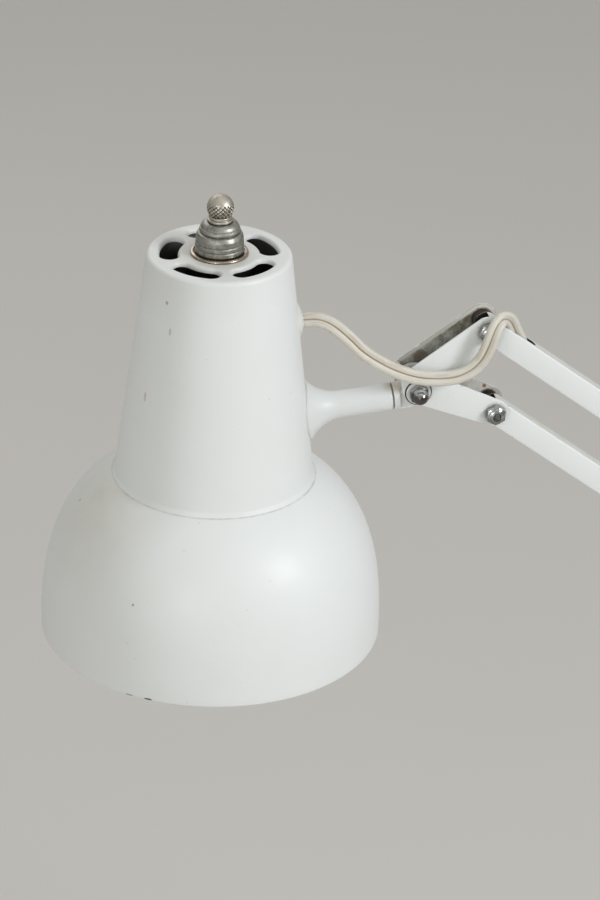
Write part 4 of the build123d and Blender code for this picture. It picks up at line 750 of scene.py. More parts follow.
def housing_piece():
    """The tapered housing with its rounded shoulder, open at the top for the vented plate."""
    lip_r, shoulder, wall = SEAM_R - 0.1, 4.3, 1.0
    lip_low, lip_high, wall_from = 82.3, 83.0, 85.4

    def blank(inset, top):
        points = [(lip_r - inset, lip_low, 0), (lip_r - inset, lip_high, 0.2)]
        points.append((housing_r(wall_from) - inset, wall_from, 4.0))
        points += [(housing_r(z) - inset, z, 0) for z in (100, 115, 130, 145, 160, 175)]
        points += [(housing_r(top) - inset, top, shoulder - inset), (PLATE_R, top, 0)]
        return rounded(points, 10)

    outer, inner = blank(0, HOUSING_TOP), blank(wall, HOUSING_TOP - LIP_DEEP)
    return lathe("lamp_housing_spun", outer[::-1] + inner, HEAD_FRAME, PAINT_HOUSING, SPUN)


VENT_MEAN, VENT_HALF, VENT_SWEEP, VENT_FIRST, VENTS = 23.7, 4.3, 18.6, 34.8, 5
LIP_DEEP, LIP_WIDE, PLATE_R = 2.2, 1.5, 30.1


def vent_outline(off, turn):
    """A vent's outline, moved out by a distance."""
    half, reach = math.radians(VENT_SWEEP), VENT_HALF + off
    points = []
    for side, start in ((1, 0.0), (-1, math.pi)):
        points += around((0, 0), VENT_MEAN + side * reach, turn - side * half, 2 * side * half, 16)
        end = turn + side * half
        points += around(polar(VENT_MEAN, math.degrees(end)), reach, end + start, math.pi, 14)[1:-1]
    return points


def vented(housing):
    """Closes the top with a plate whose vents have rolled lips."""
    steps = 7
    rows = [(LIP_WIDE + 0.5, 0.0), (LIP_WIDE + 0.2, 0.0)]
    for i in range(steps + 1):
        turn = math.pi / 2 * i / steps
        rows.append((LIP_WIDE * (1 - math.sin(turn)), LIP_DEEP * (1 - math.cos(turn))))
    work = bmesh.new()
    work.from_mesh(housing.data)
    open_edges = [edge for edge in work.edges if edge.is_boundary]
    middle = (HEAD.z + HOUSING_TOP - LIP_DEEP / 2) * MM
    above = [edge for edge in open_edges if edge.verts[0].co.z > middle]
    below = [edge for edge in open_edges if edge.verts[0].co.z <= middle]
    for number in range(VENTS):
        turn = math.radians(VENT_FIRST - 90 + number * 360 / VENTS)
        rings = []
        for off, drop in rows:
            spots = [on_head(x, y, HOUSING_TOP - drop) * MM for x, y in vent_outline(off, turn)]
            rings.append([work.verts.new(spot) for spot in spots])
        count = len(rings[0])
        for outer, inner in zip(rings, rings[1:]):
            for i in range(count):
                j = (i + 1) % count
                work.faces.new((outer[i], outer[j], inner[j], inner[i]))
        above += [work.edges.get((rings[0][i], rings[0][(i + 1) % count])) for i in range(count)]
        below += [work.edges.get((rings[-1][i], rings[-1][(i + 1) % count])) for i in range(count)]
    bmesh.ops.triangle_fill(work, use_beauty=True, normal=(0, 0, 1), edges=above)
    bmesh.ops.triangle_fill(work, use_beauty=True, normal=(0, 0, -1), edges=below)
    bmesh.ops.recalc_face_normals(work, faces=work.faces)
    work.to_mesh(housing.data)
    work.free()
    smooth(housing, 50.0)

    seat = HOUSING_BASE + 1.5

    def inside(middle, normal):
        spot = middle - HEAD
        inward = normal.x * spot.x + normal.y * spot.y < 0 and spot.z < HOUSING_TOP - LIP_DEEP
        return seat < spot.z < HOUSING_TOP - 0.1 and (inward or normal.z < -0.5)

    return painted(housing, HOUSING_INSIDE_SHADE, inside)


place(shade_piece(), "head", "white_paint", "shade")
place(vented(housing_piece()), "head", "white_paint", "lamp_housing")

NECK_R, NECK_FROM, NECK_DROP = 6.75, 12.5, 3.0
neck_frame = (
    Matrix.Translation(along(TILT, NECK_DROP, NECK_ANGLE - 90))
    @ Matrix.Rotation(math.radians(-90 - NECK_ANGLE), 4, "Y")
)


def neck_piece():
    """The trumpet neck, its flare measured off the housing's wall so that it sits on it like a saddle."""
    reach, rise, edge, sunk, steps, segments = 15.0, 8.3, 0.9, 0.4, 14, 96
    curve = (reach ** 2 + rise ** 2) / (2 * rise)
    runs = [reach * i / steps for i in range(steps + 1)]
    flare = [(NECK_R + curve - math.sqrt(curve ** 2 - run ** 2), reach + edge - run) for run in runs]
    flare.append((flare[-1][0], -sunk))
    to_head = Matrix.Translation(-HEAD) @ neck_frame

    def to_wall(radius, turn):
        """How far along the neck a line meets the housing's outer face."""
        far = 20.0
        while far < 80.0:
            spot = to_head @ Vector((*polar(radius, turn), far))
            if math.hypot(spot.x, spot.y) <= housing_r(spot.z):
                break
            far += 0.05
        return far

    turns = [360 * i / segments for i in range(segments)]
    flare_from = [to_wall(NECK_R, turn) - reach - edge for turn in turns]
    plain = NECK_FROM + 0.45
    rows = [(0.0, NECK_FROM), (NECK_R - 0.4, NECK_FROM), (NECK_R - 0.1, NECK_FROM + 0.15), (NECK_R, plain)]
    rows += [[(NECK_R, plain + (far - plain) * share) for far in flare_from] for share in (0.25, 0.5, 0.75)]
    rows += [[(radius, to_wall(radius, turn) - off) for turn in turns] for radius, off in flare]
    return build("neck_trumpet", *ringed(rows), neck_frame, PAINT_NECK, 40.0)


def knuckle_piece():
    """The swivel collar, the tongue that runs into the tilt eye and the eye's flange."""
    pin_r, pin_end, collar_end = 4.4, 26.3, 11.7
    collar = lathe("knuckle_collar", rounded([
        (0, 0.6, 0), (pin_r, 0.6, 1.0), (NECK_R, 3.0, 1.5), (NECK_R, collar_end, 0.3),
        (pin_r, collar_end, 0.2), (pin_r, pin_end, 0.4), (0, pin_end, 0),
    ]), neck_frame, PAINT_KNUCKLE)
    # Planed flat where it runs between the cheeks
    flat_y, flat_end, beyond = -4.55, 8.9, 14.0
    flat = [(-beyond, -beyond), (beyond, -beyond), (beyond, flat_y), (-beyond, flat_y)]
    cut(collar, prism("knuckle_flat", flat, -4.0, flat_end, neck_frame, PAINT_KNUCKLE))
    inner = neck_frame @ Vector((0, 0, 4.6))
    low, high = wrapped([(inner.x, inner.z, 5.4), (TILT.x, TILT.z, 6.9)])
    tongue = plate("knuckle_tongue", low + high, -4.7, 8.8, PAINT_KNUCKLE, 0.8, 3, edge_paint=EDGE_LIGHT)
    flange_r, thick = 8.9, 2.2
    flange = lathe("knuckle_flange", rounded([
        (0, 0, 0), (flange_r, 0, 0.3), (flange_r, thick, 0.5), (0, thick, 0),
    ]), facing(TILT, 8.85), PAINT_WORN)
    return joined("knuckle_cast", [collar, tongue, flange])


place(neck_piece(), "head", "white_paint", "neck")
place(knuckle_piece(), "knuckle", "white_paint", "knuckle")

BUSH_Z = 162.0
BUSH_R, BUSH_H = 9.9, 2.5
bush_frame = HEAD_FRAME @ Matrix.Translation((housing_r(BUSH_Z), 0, BUSH_Z)) @ Matrix.Rotation(
    math.radians(90 - HOUSING_ANGLE), 4, "Y")
bush_profile = [(0, BUSH_H - 0.05)] + [
    (BUSH_R * math.sin(a), -BUSH_H + (2 * BUSH_H - 0.05) * math.cos(a))
    for a in [math.radians(6 + 84 * i / 16) for i in range(17)]
]
bush = lathe("cord_bush_dome", bush_profile, bush_frame, PLASTIC)
place(bush, "head", "white_plastic", "cord_bush")

CAP_FRAME = HEAD_FRAME @ Matrix.Translation((0, 0, HOUSING_TOP))
washer = lathe("cap_washer_nickel", rounded([
    (5.1, 0, 0), (13.7, 0, 0.3), (13.7, 1.2, 0.6), (12.1, 1.2, 0.3), (11.9, 0.75, 0.1), (5.1, 0.75, 0),
]), CAP_FRAME, NICKEL, closed=True)
place(washer, "head", "brass", "cap_washer")
cap_nut = lathe("cap_nut_turned", rounded([
    (5.1, 0.8, 0), (11.3, 0.8, 0.1), (11.5, 2.0, 0.4), (11.55, 3.4, 0.3), (11.1, 3.9, 0.2),
    (11.45, 4.5, 0.3), (11.4, 5.8, 0.3), (11.0, 6.2, 0.2), (11.3, 6.7, 0.3), (11.15, 9.0, 0.9),
    (10.4, 10.8, 0.4), (9.2, 11.3, 0.15), (9.2, 11.7, 0.15), (9.75, 12.0, 0.3), (9.4, 13.3, 0.3),
    (8.9, 13.6, 0.2), (9.0, 14.0, 0.3), (8.3, 15.2, 0.5), (7.4, 16.0, 0.4), (6.3, 16.2, 0.2), (5.1, 16.2, 0),
]), CAP_FRAME, ZINC_CAP, 112, closed=True)
place(cap_nut, "head", "zinc", "cap_nut")


def knob_piece():
    """A ball knob: a ringed skirt round the bushing, crossed knurling and a smooth crown."""
    base, ball_z, ball_r, waist = 16.3, 23.15, 6.35, 19.5
    rows = rounded([
        (5.1, base + 1.9, 0), (5.1, base, 0), (5.9, base, 0.3), (6.0, base + 1.2, 0.4),
        (5.25, base + 1.55, 0.1), (5.45, base + 2.0, 0.25), (5.35, base + 2.9, 0.35), (4.75, waist, 0),
    ])
    low = math.asin((waist - ball_z) / ball_r)
    crown = 2.7
    count = 56
    turns = [low + (math.pi / 2 - low) * i / count for i in range(1, count)]
    rows += [(ball_r * math.cos(t), ball_z + ball_r * math.sin(t)) for t in turns]
    segments, grooves, slant, deep, narrow = 192, 9, 0.18, 0.6, 0.42

    def knurl(turn, z):
        """How deep the knurling is cut, fading out at the skirt and the crown."""
        fade = min(1.0, (z - waist) / 0.5, (ball_z + crown - z) / 0.7)
        if fade <= 0:
            return 0.0
        twist = slant * (z - ball_z)
        cuts = [abs(math.sin(grooves * (turn + side * twist))) for side in (-1, 1)]
        return deep * fade * max(0.0, 1 - min(cuts) / narrow)

    rings = [(3.2, base + 1.9)]
    for radius, z in rows:
        rings.append([(radius - knurl(2 * math.pi * i / segments, z), z) for i in range(segments)])
    rings.append((0.0, ball_z + ball_r))
    return build("switch_knob_knurled", *ringed(rings, segments), CAP_FRAME, KNOB_METAL, 50.0)


place(knob_piece(), "switch_knob", "chrome", "switch_knob")


# Bolts, nuts and washers
def hex_piece(name, at, y, across, height, crown, material, turn_by, back=False):
    """A hex with chamfered corners, standing on a plate. The crown, as (radius, height), closes its top."""
    segments, flat, slope = 96, across / 2, math.tan(math.radians(30))
    chamfer_r = flat * 0.96
    from_flat = [math.radians((360 * i / segments + 30) % 60 - 30) for i in range(segments)]
    edge = [(flat / math.cos(turn), (flat / math.cos(turn) - chamfer_r) * slope) for turn in from_flat]
    rows = [(0.0, 0.0), (chamfer_r, 0.0), edge, [(r, height - drop) for r, drop in edge], (chamfer_r, height)]
    turned = facing(at, y, back) @ Matrix.Rotation(turn_by, 4, "Z")
    return build(name, *ringed(rows + crown), turned, material, 24.0)


# Across flats, height and the radius of the shank
NUT = (8.7, 3.6, 2.95)
TILT_NUT = (8.4, 3.2, 2.45)
BOLT_TIP_R, TURN_STEP, TILT_WASHER_R = 1.7, 0.37, 6.0


def dome(foot_r, foot, rise, last, steps):
    """The profile of a dome, up to an angle in degrees."""
    turns = [math.radians(last * i / steps) for i in range(steps + 1)]
    return [(foot_r * math.cos(t), foot + rise * math.sin(t)) for t in turns]


def nut_crown():
    """A nut's domed top with the rounded end of the bolt in it."""
    rows = dome(NUT[0] * 0.465, NUT[1] + 0.1, 1.5, 60, 5)
    tip_r, top = BOLT_TIP_R, rows[-1][1]
    return rows + [(tip_r + 0.15, top - 0.25), (tip_r, top - 0.1), (tip_r * 0.86, top + 0.25),
                   (tip_r * 0.5, top + 0.4), (0.0, top + 0.4)]


def acorn_crown():
    across, height, radius = TILT_NUT
    rise = 4.8
    return dome(across * 0.485, height + 0.15, rise, 90, 14)[:-1] + [(0.0, height + 0.15 + rise)]


def bolt(name, at, front, rear, size, crown, turn_by, nut_metal=CHROME):
    """A bolt through two plates: its nut in front, its shank between them and its head behind."""
    across, height, radius = size
    gap, dish = 0.05, 0.3
    head = [(across * 0.32, height), (across * 0.27, height - dish), (0.0, height - dish)]
    length = rear - front - 2 * gap
    shank = [(0, 0), (radius, 0), (radius, length), (0, length)]
    return [
        hex_piece(name + "_nut", at, front, across, height, crown, nut_metal, turn_by),
        lathe(name + "_shank", shank, facing(at, rear - gap), ZINC, 40),
        hex_piece(name + "_head", at, rear, across, height, head, CHROME, turn_by, True),
    ]


def bolt_set(name, body, pivots, front, rear, first_turn, *nodes):
    """Bolts on some pivots, each with its dirty tip standing in a domed nut."""
    pieces = []
    for number, at in enumerate(pivots):
        def in_tip(middle, normal):
            return math.hypot(middle.x - at.x, middle.z - at.z) < BOLT_TIP_R - 0.05

        parts = bolt(f"{name}_{number}", at, front, rear, NUT, nut_crown(), first_turn + TURN_STEP * number)
        painted(parts[0], TIP_METAL, in_tip)
        pieces += parts
    place(joined(name, pieces), body, "chrome", *nodes)


def tilt_washer(name, y_from, y_to, radius, material):
    hole, thick = 2.5, y_to - y_from
    return lathe(name, rounded([
        (hole, 0, 0), (radius, 0, 0.15), (radius, thick, min(0.4, thick * 0.45)), (hole, thick, 0),
    ]), facing(TILT, y_to), material, 72, closed=True)


bolt_set("head_pivot_bolt_set", "head_bracket", (PIVOT_U, PIVOT_V), FRONT, REAR, -0.40,
         "head_pivot_nuts", "head_pivot_bolts")
bolt_set("elbow_bolt_set", "elbow", (ELBOW_A, ELBOW_B, ELBOW_U, ELBOW_V), -PLATE_OUT, PLATE_OUT, 0.21,
         "elbow_nuts", "elbow_bolts")
bolt_set("turret_bolt_set", "turret", (PIVOT_A, PIVOT_B), -PLATE_OUT, PLATE_OUT, 0.21,
         "turret_nuts", "turret_bolts")

tilt_bolt = bolt("tilt", TILT, FRONT - 1.0, REAR + 1.0, TILT_NUT, acorn_crown(), 0.15, CHROME_DOME)
place(joined("tilt_bolt_acorn", tilt_bolt), "head_bracket", "chrome", "tilt_nut", "tilt_bolt")
place(joined("tilt_washer_pair", [
    tilt_washer("tilt_washer_front", FRONT - 1.0, FRONT - 0.25, TILT_WASHER_R, PAINT),
    # A dark ring behind the front washer, a painted shadow round its edge.
    tilt_washer("tilt_washer_shade_ring", FRONT - 0.25, FRONT, TILT_WASHER_R + 0.6, RUST_AND_SHADE),
    tilt_washer("tilt_washer_rear", REAR, REAR + 1.0, TILT_WASHER_R, ZINC),
]), "head_bracket", "zinc", "tilt_washers")


# Head bracket
EYE = (TILT.x + 0.6, TILT.z + 2.4, 8.6)
CORNER = (TILT.x - 3.6, TILT.z + 7.0, 4.9)


def cheek_outline():
    """Both limbs round the three pivots, with the notch where their inner sides meet."""
    lower, upper = (PIVOT_V.x, PIVOT_V.z, LOWER_R), (PIVOT_U.x, PIVOT_U.z, UPPER_R)
    eye, low, between, high, corner = wrapped([EYE, lower, EYE, upper, CORNER])
    notch = intersect_line_line_2d(low[-1], between[0], between[-1], high[0])
    notch_r = 3.0
    return low + arc_corner(low[-1], notch, high[0], notch_r, 6) + high + corner + eye


def bracket_piece():
    """Two cheeks and the short web that folds over between them, with dust and painted shade on their inner
    faces.
    """
    pieces = []
    for name, depths, edge_paint, inward in (
        ("bracket_front", (FRONT, FRONT_IN), EDGE_LIGHT, 1), ("bracket_rear", (REAR_IN, REAR), EDGE, -1),
    ):
        cheek = plate(name, cheek_outline(), *depths, PAINT_BRACKET, 0.35, edge_paint=edge_paint)
        pieces.append(painted(cheek, PAINT_CHEEK, lambda middle, normal: normal.y * inward > 0.9))
    first, last, thick = math.radians(142), math.radians(174), 1.3
    outline = arc(CORNER, CORNER[2], first, last, 6) + arc(CORNER, CORNER[2] - thick, first, last, 6)[::-1]
    pieces.append(plate("bracket_web", outline, FRONT_IN - 0.1, REAR_IN + 0.1, PAINT_CHEEK, 0.15))
    return joined("head_bracket_folded", pieces)


place(bracket_piece(), "head_bracket", "white_paint", "head_bracket")


# Arm bars
BAR_END, BAR_HIGH = 4.7, 6.0
SLOT_HALF, SLOT_R, SLOT_FROM, SLOT_TO = 4.6, 2.1, -8.0, -1.5
HOLLOW_LONG, HOLLOW_WIDE, HOLLOW_HIGH, HOLLOW_PAST = 28.0, 3.7, 5.2, 8.0
SLOT_AT, HEAD_SLOT_AT = 24.3, ARM - 20.4


def bar(name, start, degrees, slots):
    """A rectangular tube with open round ends, and slots in one side where the cord goes in."""
    frame_at = Matrix.Translation(start) @ Matrix.Rotation(math.radians(-degrees), 4, "Y")
    end = around((0, 0), 1.0, -math.pi / 2, math.pi, 18)
    outline = [(ARM + BAR_END * x, BAR_HIGH * y) for x, y in end]
    outline += [(-BAR_END * x, -BAR_HIGH * y) for x, y in end]
    obj = plate(name, outline, -BAR_HALF, BAR_HALF, PAINT_BAR, 0.7, 3, frame_at, EDGE_LIGHT)
    # The slot and hollow walls take a near-black that stands for the shade inside them.
    for at in slots:
        points = around((at + SLOT_HALF, 0), SLOT_R, -math.pi / 2, math.pi, 8)
        points += around((at - SLOT_HALF, 0), SLOT_R, math.pi / 2, math.pi, 8)
        cut(obj, prism(name + "_slot", points, SLOT_FROM, SLOT_TO, frame_at, SHADE_BLACK))
    for low in (-HOLLOW_PAST, ARM + HOLLOW_PAST - HOLLOW_LONG):
        high = low + HOLLOW_LONG
        hollow = [(low, -HOLLOW_WIDE), (high, -HOLLOW_WIDE), (high, HOLLOW_WIDE), (low, HOLLOW_WIDE)]
        cut(obj, prism(name + "_hollow", hollow, -HOLLOW_HIGH, HOLLOW_HIGH, frame_at, SHADE_BLACK))
    return obj


for node, body, start, degrees, slots in (
    ("upper_bar", "upper_arm", ELBOW_U, UPPER_ANGLE, (SLOT_AT, HEAD_SLOT_AT)),
    ("upper_stay", "upper_stay", ELBOW_V, UPPER_ANGLE, ()),
    ("lower_bar", "lower_arm", PIVOT_B, LOWER_ANGLE, (SLOT_AT, ARM - SLOT_AT)),
    ("lower_stay", "lower_stay", PIVOT_A, LOWER_ANGLE, ()),
):
    place(bar(node + "_tube", start, degrees, slots), body, "white_paint", node)


# Springs
def spring(name, pin, hook):
    """Both wound coils of one arm."""
    way = (pin - hook).normalized()
    side = Vector((0, 1, 0))
    up = way.cross(side)
    turns, per_turn, coil_r, wire_r = 34, 20, 5.2, 0.6
    start, end = 12.0, 98.4
    count = turns * per_turn
    wire = [(v, u) for u, v in around((0, 0), wire_r, 0.0, 2 * math.pi, 8)[:-1]]
    pieces = []
    for y in (-SPRING_Y, SPRING_Y):
        spots, outs = [], []
        for i in range(count + 1):
            turn = 2 * math.pi * turns * i / count
            reach = start + (end - start) * i / count
            outs.append(side * math.cos(turn) + up * math.sin(turn))
            spots.append(hook + side * y + way * reach + outs[-1] * coil_r)
        pieces.append(build(f"{name}_{len(pieces)}", *sweep(spots, outs, wire), Matrix(), STEEL, 50.0))
    return joined(name, pieces)


for arm, pin, hook in (("lower", LOWER_PIN, LOWER_HOOK), ("upper", UPPER_PIN, UPPER_HOOK)):
    coils = arm + "_spring_coils"
    place(spring(arm + "_spring_wound", pin, hook), coils, "spring_steel", coils)


# Cord routes, as in the CAD, in millimetres
HEAD_LOOP = [
    (-58.6, 0.0, 38.4), (-54.3, 0.0, 38.9), (-48.0, -2.6, 39.7), (-41.8, -5.2, 37.1), (-34.8, -8.0, 31.1),
    (-28.4, -10.0, 24.5), (-18.8, -11.7, 18.3), (-10.2, -12.7, 14.1), (-1.4, -13.1, 11.2), (7.2, -13.3, 10.3),
    (16.0, -13.5, 10.6), (23.2, -13.9, 13.8), (28.0, -14.1, 18.8), (30.9, -14.1, 25.0), (33.0, -14.0, 31.8),
    (35.0, -12.5, 36.2), (37.9, -9.9, 38.4), (41.4, -6.4, 37.3), (44.4, -3.5, 33.8), (46.4, -1.5, 29.4),
    (48.5, -0.4, 25.0), (50.2, 0.0, 21.0),
]
ELBOW_LOOP = [
    (157.1, 0.0, 570.0), (162.4, 1.0, 577.2), (174.0, 0.0, 585.9), (191.0, -1.0, 586.0), (207.0, 0.0, 575.0),
    (218.5, 1.0, 556.0), (225.0, 1.0, 532.5), (227.5, 0.0, 508.0), (225.0, -1.0, 485.0), (217.0, -1.0, 464.5),
    (208.5, 0.0, 450.5), (200.6, 0.0, 444.6), (194.4, 0.0, 446.6),
]
BASE_LOOP = [
    (39.0, 0.0, 111.3), (45.6, 0.0, 107.4), (53.5, 1.0, 100.5), (57.0, 0.0, 90.0), (53.0, -1.0, 78.6),
    (43.0, 0.0, 70.4), (29.5, 0.0, 67.0), (16.0, 0.0, 65.0), (6.0, 0.0, 60.0), (1.2, 0.0, 52.0),
    (0.4, 0.0, 44.5),
]
# On the floor the flat flex lies lower than the round of the CAD
FLOOR_Z, LAYER_Z, PLUG_Z = 1.75, 3.5, 8.2
LEAD = [
    (0.0, 125.3, 7.0), (-0.5, 137.0, 5.8), (-4.0, 153.0, 2.6), (-14.0, 170.0, FLOOR_Z),
    (-34.0, 182.0, FLOOR_Z), (-62.0, 186.0, FLOOR_Z), (-94.0, 182.0, FLOOR_Z), (-126.0, 172.0, FLOOR_Z),
    (-155.0, 156.0, FLOOR_Z), (-178.0, 135.0, FLOOR_Z),
]
COIL_CENTRE = Vector((-172.0, 62.0, 0.0))
COIL_MEAN_R, COIL_PITCH, COIL_TURNS, COIL_FROM = 38.5, 7.6, 2.5, 135.0
COIL_HALF, COIL_TAIL = COIL_PITCH * COIL_TURNS / 2, 30.0


def coil_points():
    """The put-away coil: in along the lower layer, up, and out along the upper one to the plug."""
    inner, layer_halves = COIL_MEAN_R - COIL_HALF, 2 * COIL_TURNS
    points = []
    total = 2 * layer_halves + 0.5
    count = 84
    for i in range(1, count + 1):
        half = total * i / count
        if half <= layer_halves:
            radius, z = inner + COIL_PITCH * (layer_halves - half) / 2, FLOOR_Z
        elif half <= layer_halves + 1:
            radius, z = inner, FLOOR_Z + LAYER_Z * (half - layer_halves)
        else:
            radius, z = inner + COIL_PITCH * (half - layer_halves - 1) / 2, FLOOR_Z + LAYER_Z
        x, y = polar(radius, COIL_FROM + 180 * half)
        points.append((COIL_CENTRE.x + x, COIL_CENTRE.y + y, z))
    end = Vector(points[-1])
    tail = Vector((*polar(COIL_TAIL, COIL_FROM + 180 * total + 90), 0))
    rise = Vector((0, 0, PLUG_Z - end.z))
    return points + [tuple(end + tail * 0.5 + rise * 0.6), tuple(end + tail + rise)]


def route(points):
    """Points along the smooth line that the route's points control."""
    curve = bpy.data.curves.new("route", "CURVE")
    curve.dimensions = "3D"
    curve.resolution_u = 10
    spline = curve.splines.new("NURBS")
    spline.points.add(len(points) - 1)
    for point, spot in zip(spline.points, points):
        point.co = (*[v * MM for v in spot], 1.0)
    spline.order_u = 3
    spline.use_endpoint_u = True
    obj = added("route", curve)
    mesh = bpy.data.meshes.new_from_object(obj.evaluated_get(bpy.context.evaluated_depsgraph_get()))
    spots = [v.co.copy() for v in mesh.vertices]
    bpy.data.objects.remove(obj)
    bpy.data.meshes.remove(mesh)
    return spots


def flex_section():
    """A twin flex in section: two round cores with a groove between them, as (across, out, groove)."""
    points = []
    core, apart, waist, reach, steps = 1.80, 1.80, 1.0, math.radians(124), 10
    for side in (1, -1):
        round_core = around((apart, 0), core, -reach, 2 * reach, steps)
        points += [(side * u, side * v, 0.0) for u, v in round_core]
        points.append((0.0, side * waist, 1.0))
    return points


def flex(name, spots, flat_to):
    """A length of twin flex along a line, its flat side turned to a direction."""
    section = flex_section()
    outs = [Vector(flat_to(i / (len(spots) - 1))) for i in range(len(spots))]
    verts, faces = sweep(spots, outs, [(u * MM, v * MM) for u, v, dirt in section])
    mesh = bpy.data.meshes.new(name)
    mesh.from_pydata([tuple(v) for v in verts], [], faces)
    groove, lay = [], []
    run = 0.0
    for i, spot in enumerate(spots):
        run += (spot - spots[max(i - 1, 0)]).length
        for u, v, dirt in section:
            groove.append(dirt)
            lay += [run, u * MM, v * MM]
    mesh.attributes.new("groove", "FLOAT", "POINT").data.foreach_set("value", groove)
    mesh.attributes.new("lay", "FLOAT_VECTOR", "POINT").data.foreach_set("vector", lay)
    mesh.materials.append(FLEX)
    tidied(mesh)
    return smooth(added(name, mesh), 70.0)


def run_length(spots):
    return sum((b - a).length for a, b in zip(spots, spots[1:]))


def loop(name, points, cuts, node, flat_to):
    """A cord loop between moving bodies, in lengths cut at the given shares of its run."""
    spots = route(points)
    whole = run_length(spots)
    marks = [0]
    for share in cuts:
        reach = [abs(run_length(spots[:i + 1]) - share * whole) for i in range(len(spots))]
        marks.append(reach.index(min(reach)))
    marks.append(len(spots) - 1)
    for number, (first, last) in enumerate(zip(marks, marks[1:])):
        part = spots[first:last + 1]
        begin, end = first / (len(spots) - 1), last / (len(spots) - 1)
        piece = flex(f"{name}_{number + 1}", part, lambda share: flat_to(begin + (end - begin) * share))
        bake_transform(piece)
        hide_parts(node)


def to_viewer(share):
    """Flat to the photograph's viewer, then edgeways into the slot of the bar."""
    start, end = Vector((-0.154, -0.873, 0.464)), Vector((0.0, -1.0, 0.0))
    turn_from, turn_over = 0.70, 0.20
    return start.lerp(end, min(1.0, max(0.0, (share - turn_from) / turn_over)))


def to_front(share):
    return (0.0, -1.0, 0.0)


loop("cord_head", [tuple(TILT + Vector(p)) for p in HEAD_LOOP], (0.334, 0.667),
     "cord_head_loop", to_viewer)
loop("cord_elbow", ELBOW_LOOP, (0.5,), "cord_elbow_loop", to_front)
loop("cord_base", BASE_LOOP, (), "cord_base_loop", to_front)

lead_spots = route(LEAD + coil_points())
lead = flex("cord_supply", lead_spots, lambda share: (0, 0, 1))
place(lead, "foot", "flex", "cord_lead", "cord_coil")


def tie_piece():
    """A strap over both layers of the coil, down to the floor on each side."""
    past, turned = COIL_HALF + 4.0, math.radians(20)
    inner, outer = COIL_MEAN_R - past, COIL_MEAN_R + past
    high, thick, low, half = FLOOR_Z + LAYER_Z + 2.1, 0.9, 0.1, 2.5
    over = rounded([
        (outer + thick, low, 0), (outer + thick, high + thick, 2.4), (inner - thick, high + thick, 2.4),
        (inner - thick, low, 0),
    ], 6)
    under = rounded([(inner, low, 0), (inner, high, 1.5), (outer, high, 1.5), (outer, low, 0)], 6)
    frame_at = Matrix.Translation(COIL_CENTRE) @ Matrix.Rotation(turned, 4, "Z")
    return plate("cord_tie_strap", over + under, -half, half, PLASTIC, 0.25, 2, frame_at)


tie = place(tie_piece(), "foot", "white_plastic", "cord_tie")

# CAD nodes that stay, by material
CAD_LOOKS = (
    (PAINT, "turret_bracket", "elbow_front_plate", "elbow_rear_plate"),
    (PAINT_FOOT, "foot_casting"),
    (FELT, "foot_felt"),
    (PLASTIC, "cord_gland", "plug_body"),
    (BRASS, "swivel_bush", "lampholder_shell"),
    (ZINC, "swivel_post", "post_clip", "turret_washers", "elbow_washers", "neck_screws", "switch_bushing",
     "bulb_cap"),
    (CHROME, "turret_spring_pins", "lower_spring_pin", "elbow_spring_pins", "upper_spring_pin", "plug_pins"),
    (STEEL, "lower_spring_anchors", "lower_spring_rods", "upper_spring_anchors", "upper_spring_rods"),
    # The pivot spacers dark and rusty, dark also as painted shade of the gap behind the bars.
    (RUST_AND_SHADE, "head_pivot_spacers"),
    (BAKELITE, "switch_body", "lampholder"),
    (GLASS, "bulb_glass"),
)
for look, *nodes in CAD_LOOKS:
    for node in nodes:
        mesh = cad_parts[node].data
        mesh.materials.clear()
        mesh.materials.append(look)


# Floor, light and camera
def floor_material():
    n = new_material("floor_pale")
    pale = Vector((0.62, 0.60, 0.57))
    n.set(Base_Color=n.mix(n.ramp(n.noise(3.0), 0.3, 0.7, 0.0, 0.3), pale, pale * 0.96), Roughness=0.8)
    return n.owner


FLOOR_SIZE, FLOOR_DROP = 24.0, 0.0002
bpy.ops.mesh.primitive_plane_add(size=FLOOR_SIZE, location=(0, 0, -FLOOR_DROP))
floor = bpy.context.object
floor.name = "floor"
floor.data.materials.append(floor_material())

HEAD_MIDDLE = on_head(0, 0, 72) * MM


def area_light(name, way, far, size, power, colour=(1, 1, 1)):
    """A soft light in a direction from the head, turned to it."""
    light = bpy.data.lights.new(name, "AREA")
    light.shape = "RECTANGLE"
    light.size, light.size_y = size
    light.energy = power
    light.color = colour
    obj = added(name, light)
    obj.location = HEAD_MIDDLE + Vector(way).normalized() * far
    obj.rotation_euler = (HEAD_MIDDLE - obj.location).to_track_quat("-Z", "Y").to_euler()


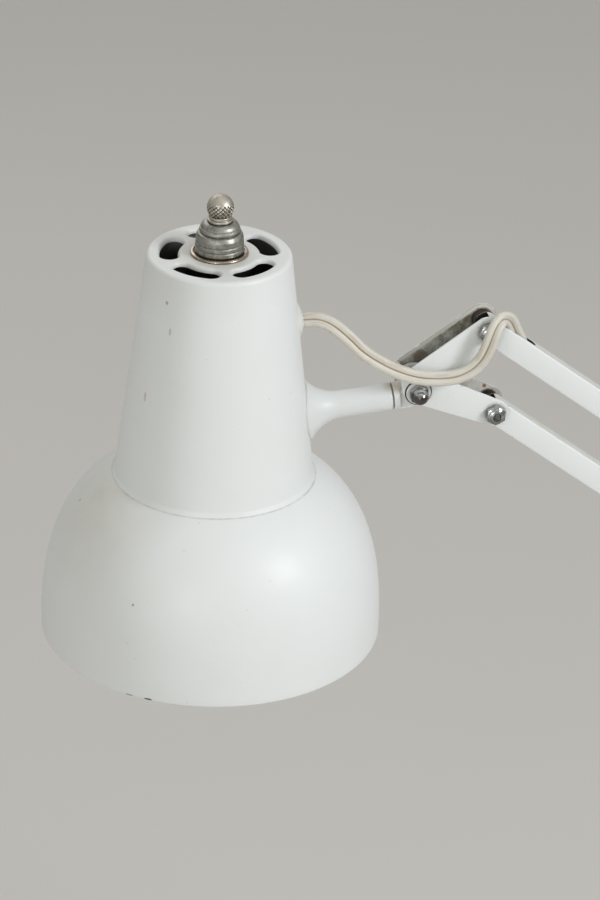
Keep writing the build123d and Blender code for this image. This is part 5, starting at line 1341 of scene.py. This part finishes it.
area_light("key_right", (0.68, -0.571, 0.46), 2.2, (0.6, 0.6), 23.6, (0.98, 1.0, 1.04))
area_light("fill_left", (-0.43, -0.88, 0.201), 2.2, (0.42, 0.42), 4.0, (0.98, 1.0, 1.01))
area_light("front_soft", (-0.5, -0.8, 0.15), 2.6, (2.4, 2.0), 12.0, (1.0, 0.995, 0.97))
area_light("top_soft", (0.15, -0.1, 1.0), 1.9, (1.8, 1.8), 3.0)
area_light("back_soft", (-0.2, 1.0, 0.7), 2.4, (1.6, 1.2), 9.0)


def studio_world():
    """Even light, brighter from above than from the sides."""
    n = Nodes(bpy.data.worlds.new("studio"), "Background")
    high = n.ramp(n.vector("DOT_PRODUCT", n.coords.outputs["Generated"], (0, 0, 1)), -0.1, 0.8)
    n.set(Color=n.mix(high, (0.53, 0.53, 0.515), (0.95, 0.945, 0.92)), Strength=0.56)
    bpy.context.scene.world = n.owner


studio_world()


def photo_camera():
    """The photo's viewpoint: distance, elevation and roll from the shade's outline, turn from the arm."""
    lens_px, width, height = 3972.8, 600.0, 900.0
    aim_x, aim_y, aim_z, distance = 214.642, 439.041, 100.0, 1900.0
    rise, lean, turn = math.radians(27.613), math.radians(1.435), math.radians(10.0)
    level = Vector((math.sin(turn), math.cos(turn), 0))
    upright = Vector((0, 0, 1))
    ahead = level * math.cos(rise) - upright * math.sin(rise)
    right = level.cross(upright)
    up = level * math.sin(rise) + upright * math.cos(rise)
    roll = Matrix.Rotation(-lean, 3, ahead)
    right, up = roll @ right, roll @ up
    eye = (on_head(0, 0, aim_z) - ahead * distance) * MM
    off_x, off_y = (width / 2 - aim_x) / lens_px, (height / 2 - aim_y) / lens_px
    ahead = (ahead + right * off_x - up * off_y).normalized()
    right = (right - ahead * right.dot(ahead)).normalized()
    up = right.cross(ahead)
    camera = bpy.data.cameras.new("photo_view")
    camera.sensor_fit = "VERTICAL"
    camera.sensor_height = 36.0
    camera.lens = lens_px / height * camera.sensor_height
    camera.clip_end = 50.0
    obj = added("photo_view", camera)
    obj.matrix_world = Matrix.Translation(eye) @ Matrix((right, up, -ahead)).transposed().to_4x4()
    bpy.context.scene.camera = obj


photo_camera()
bpy.context.scene.view_settings.view_transform = "Standard"
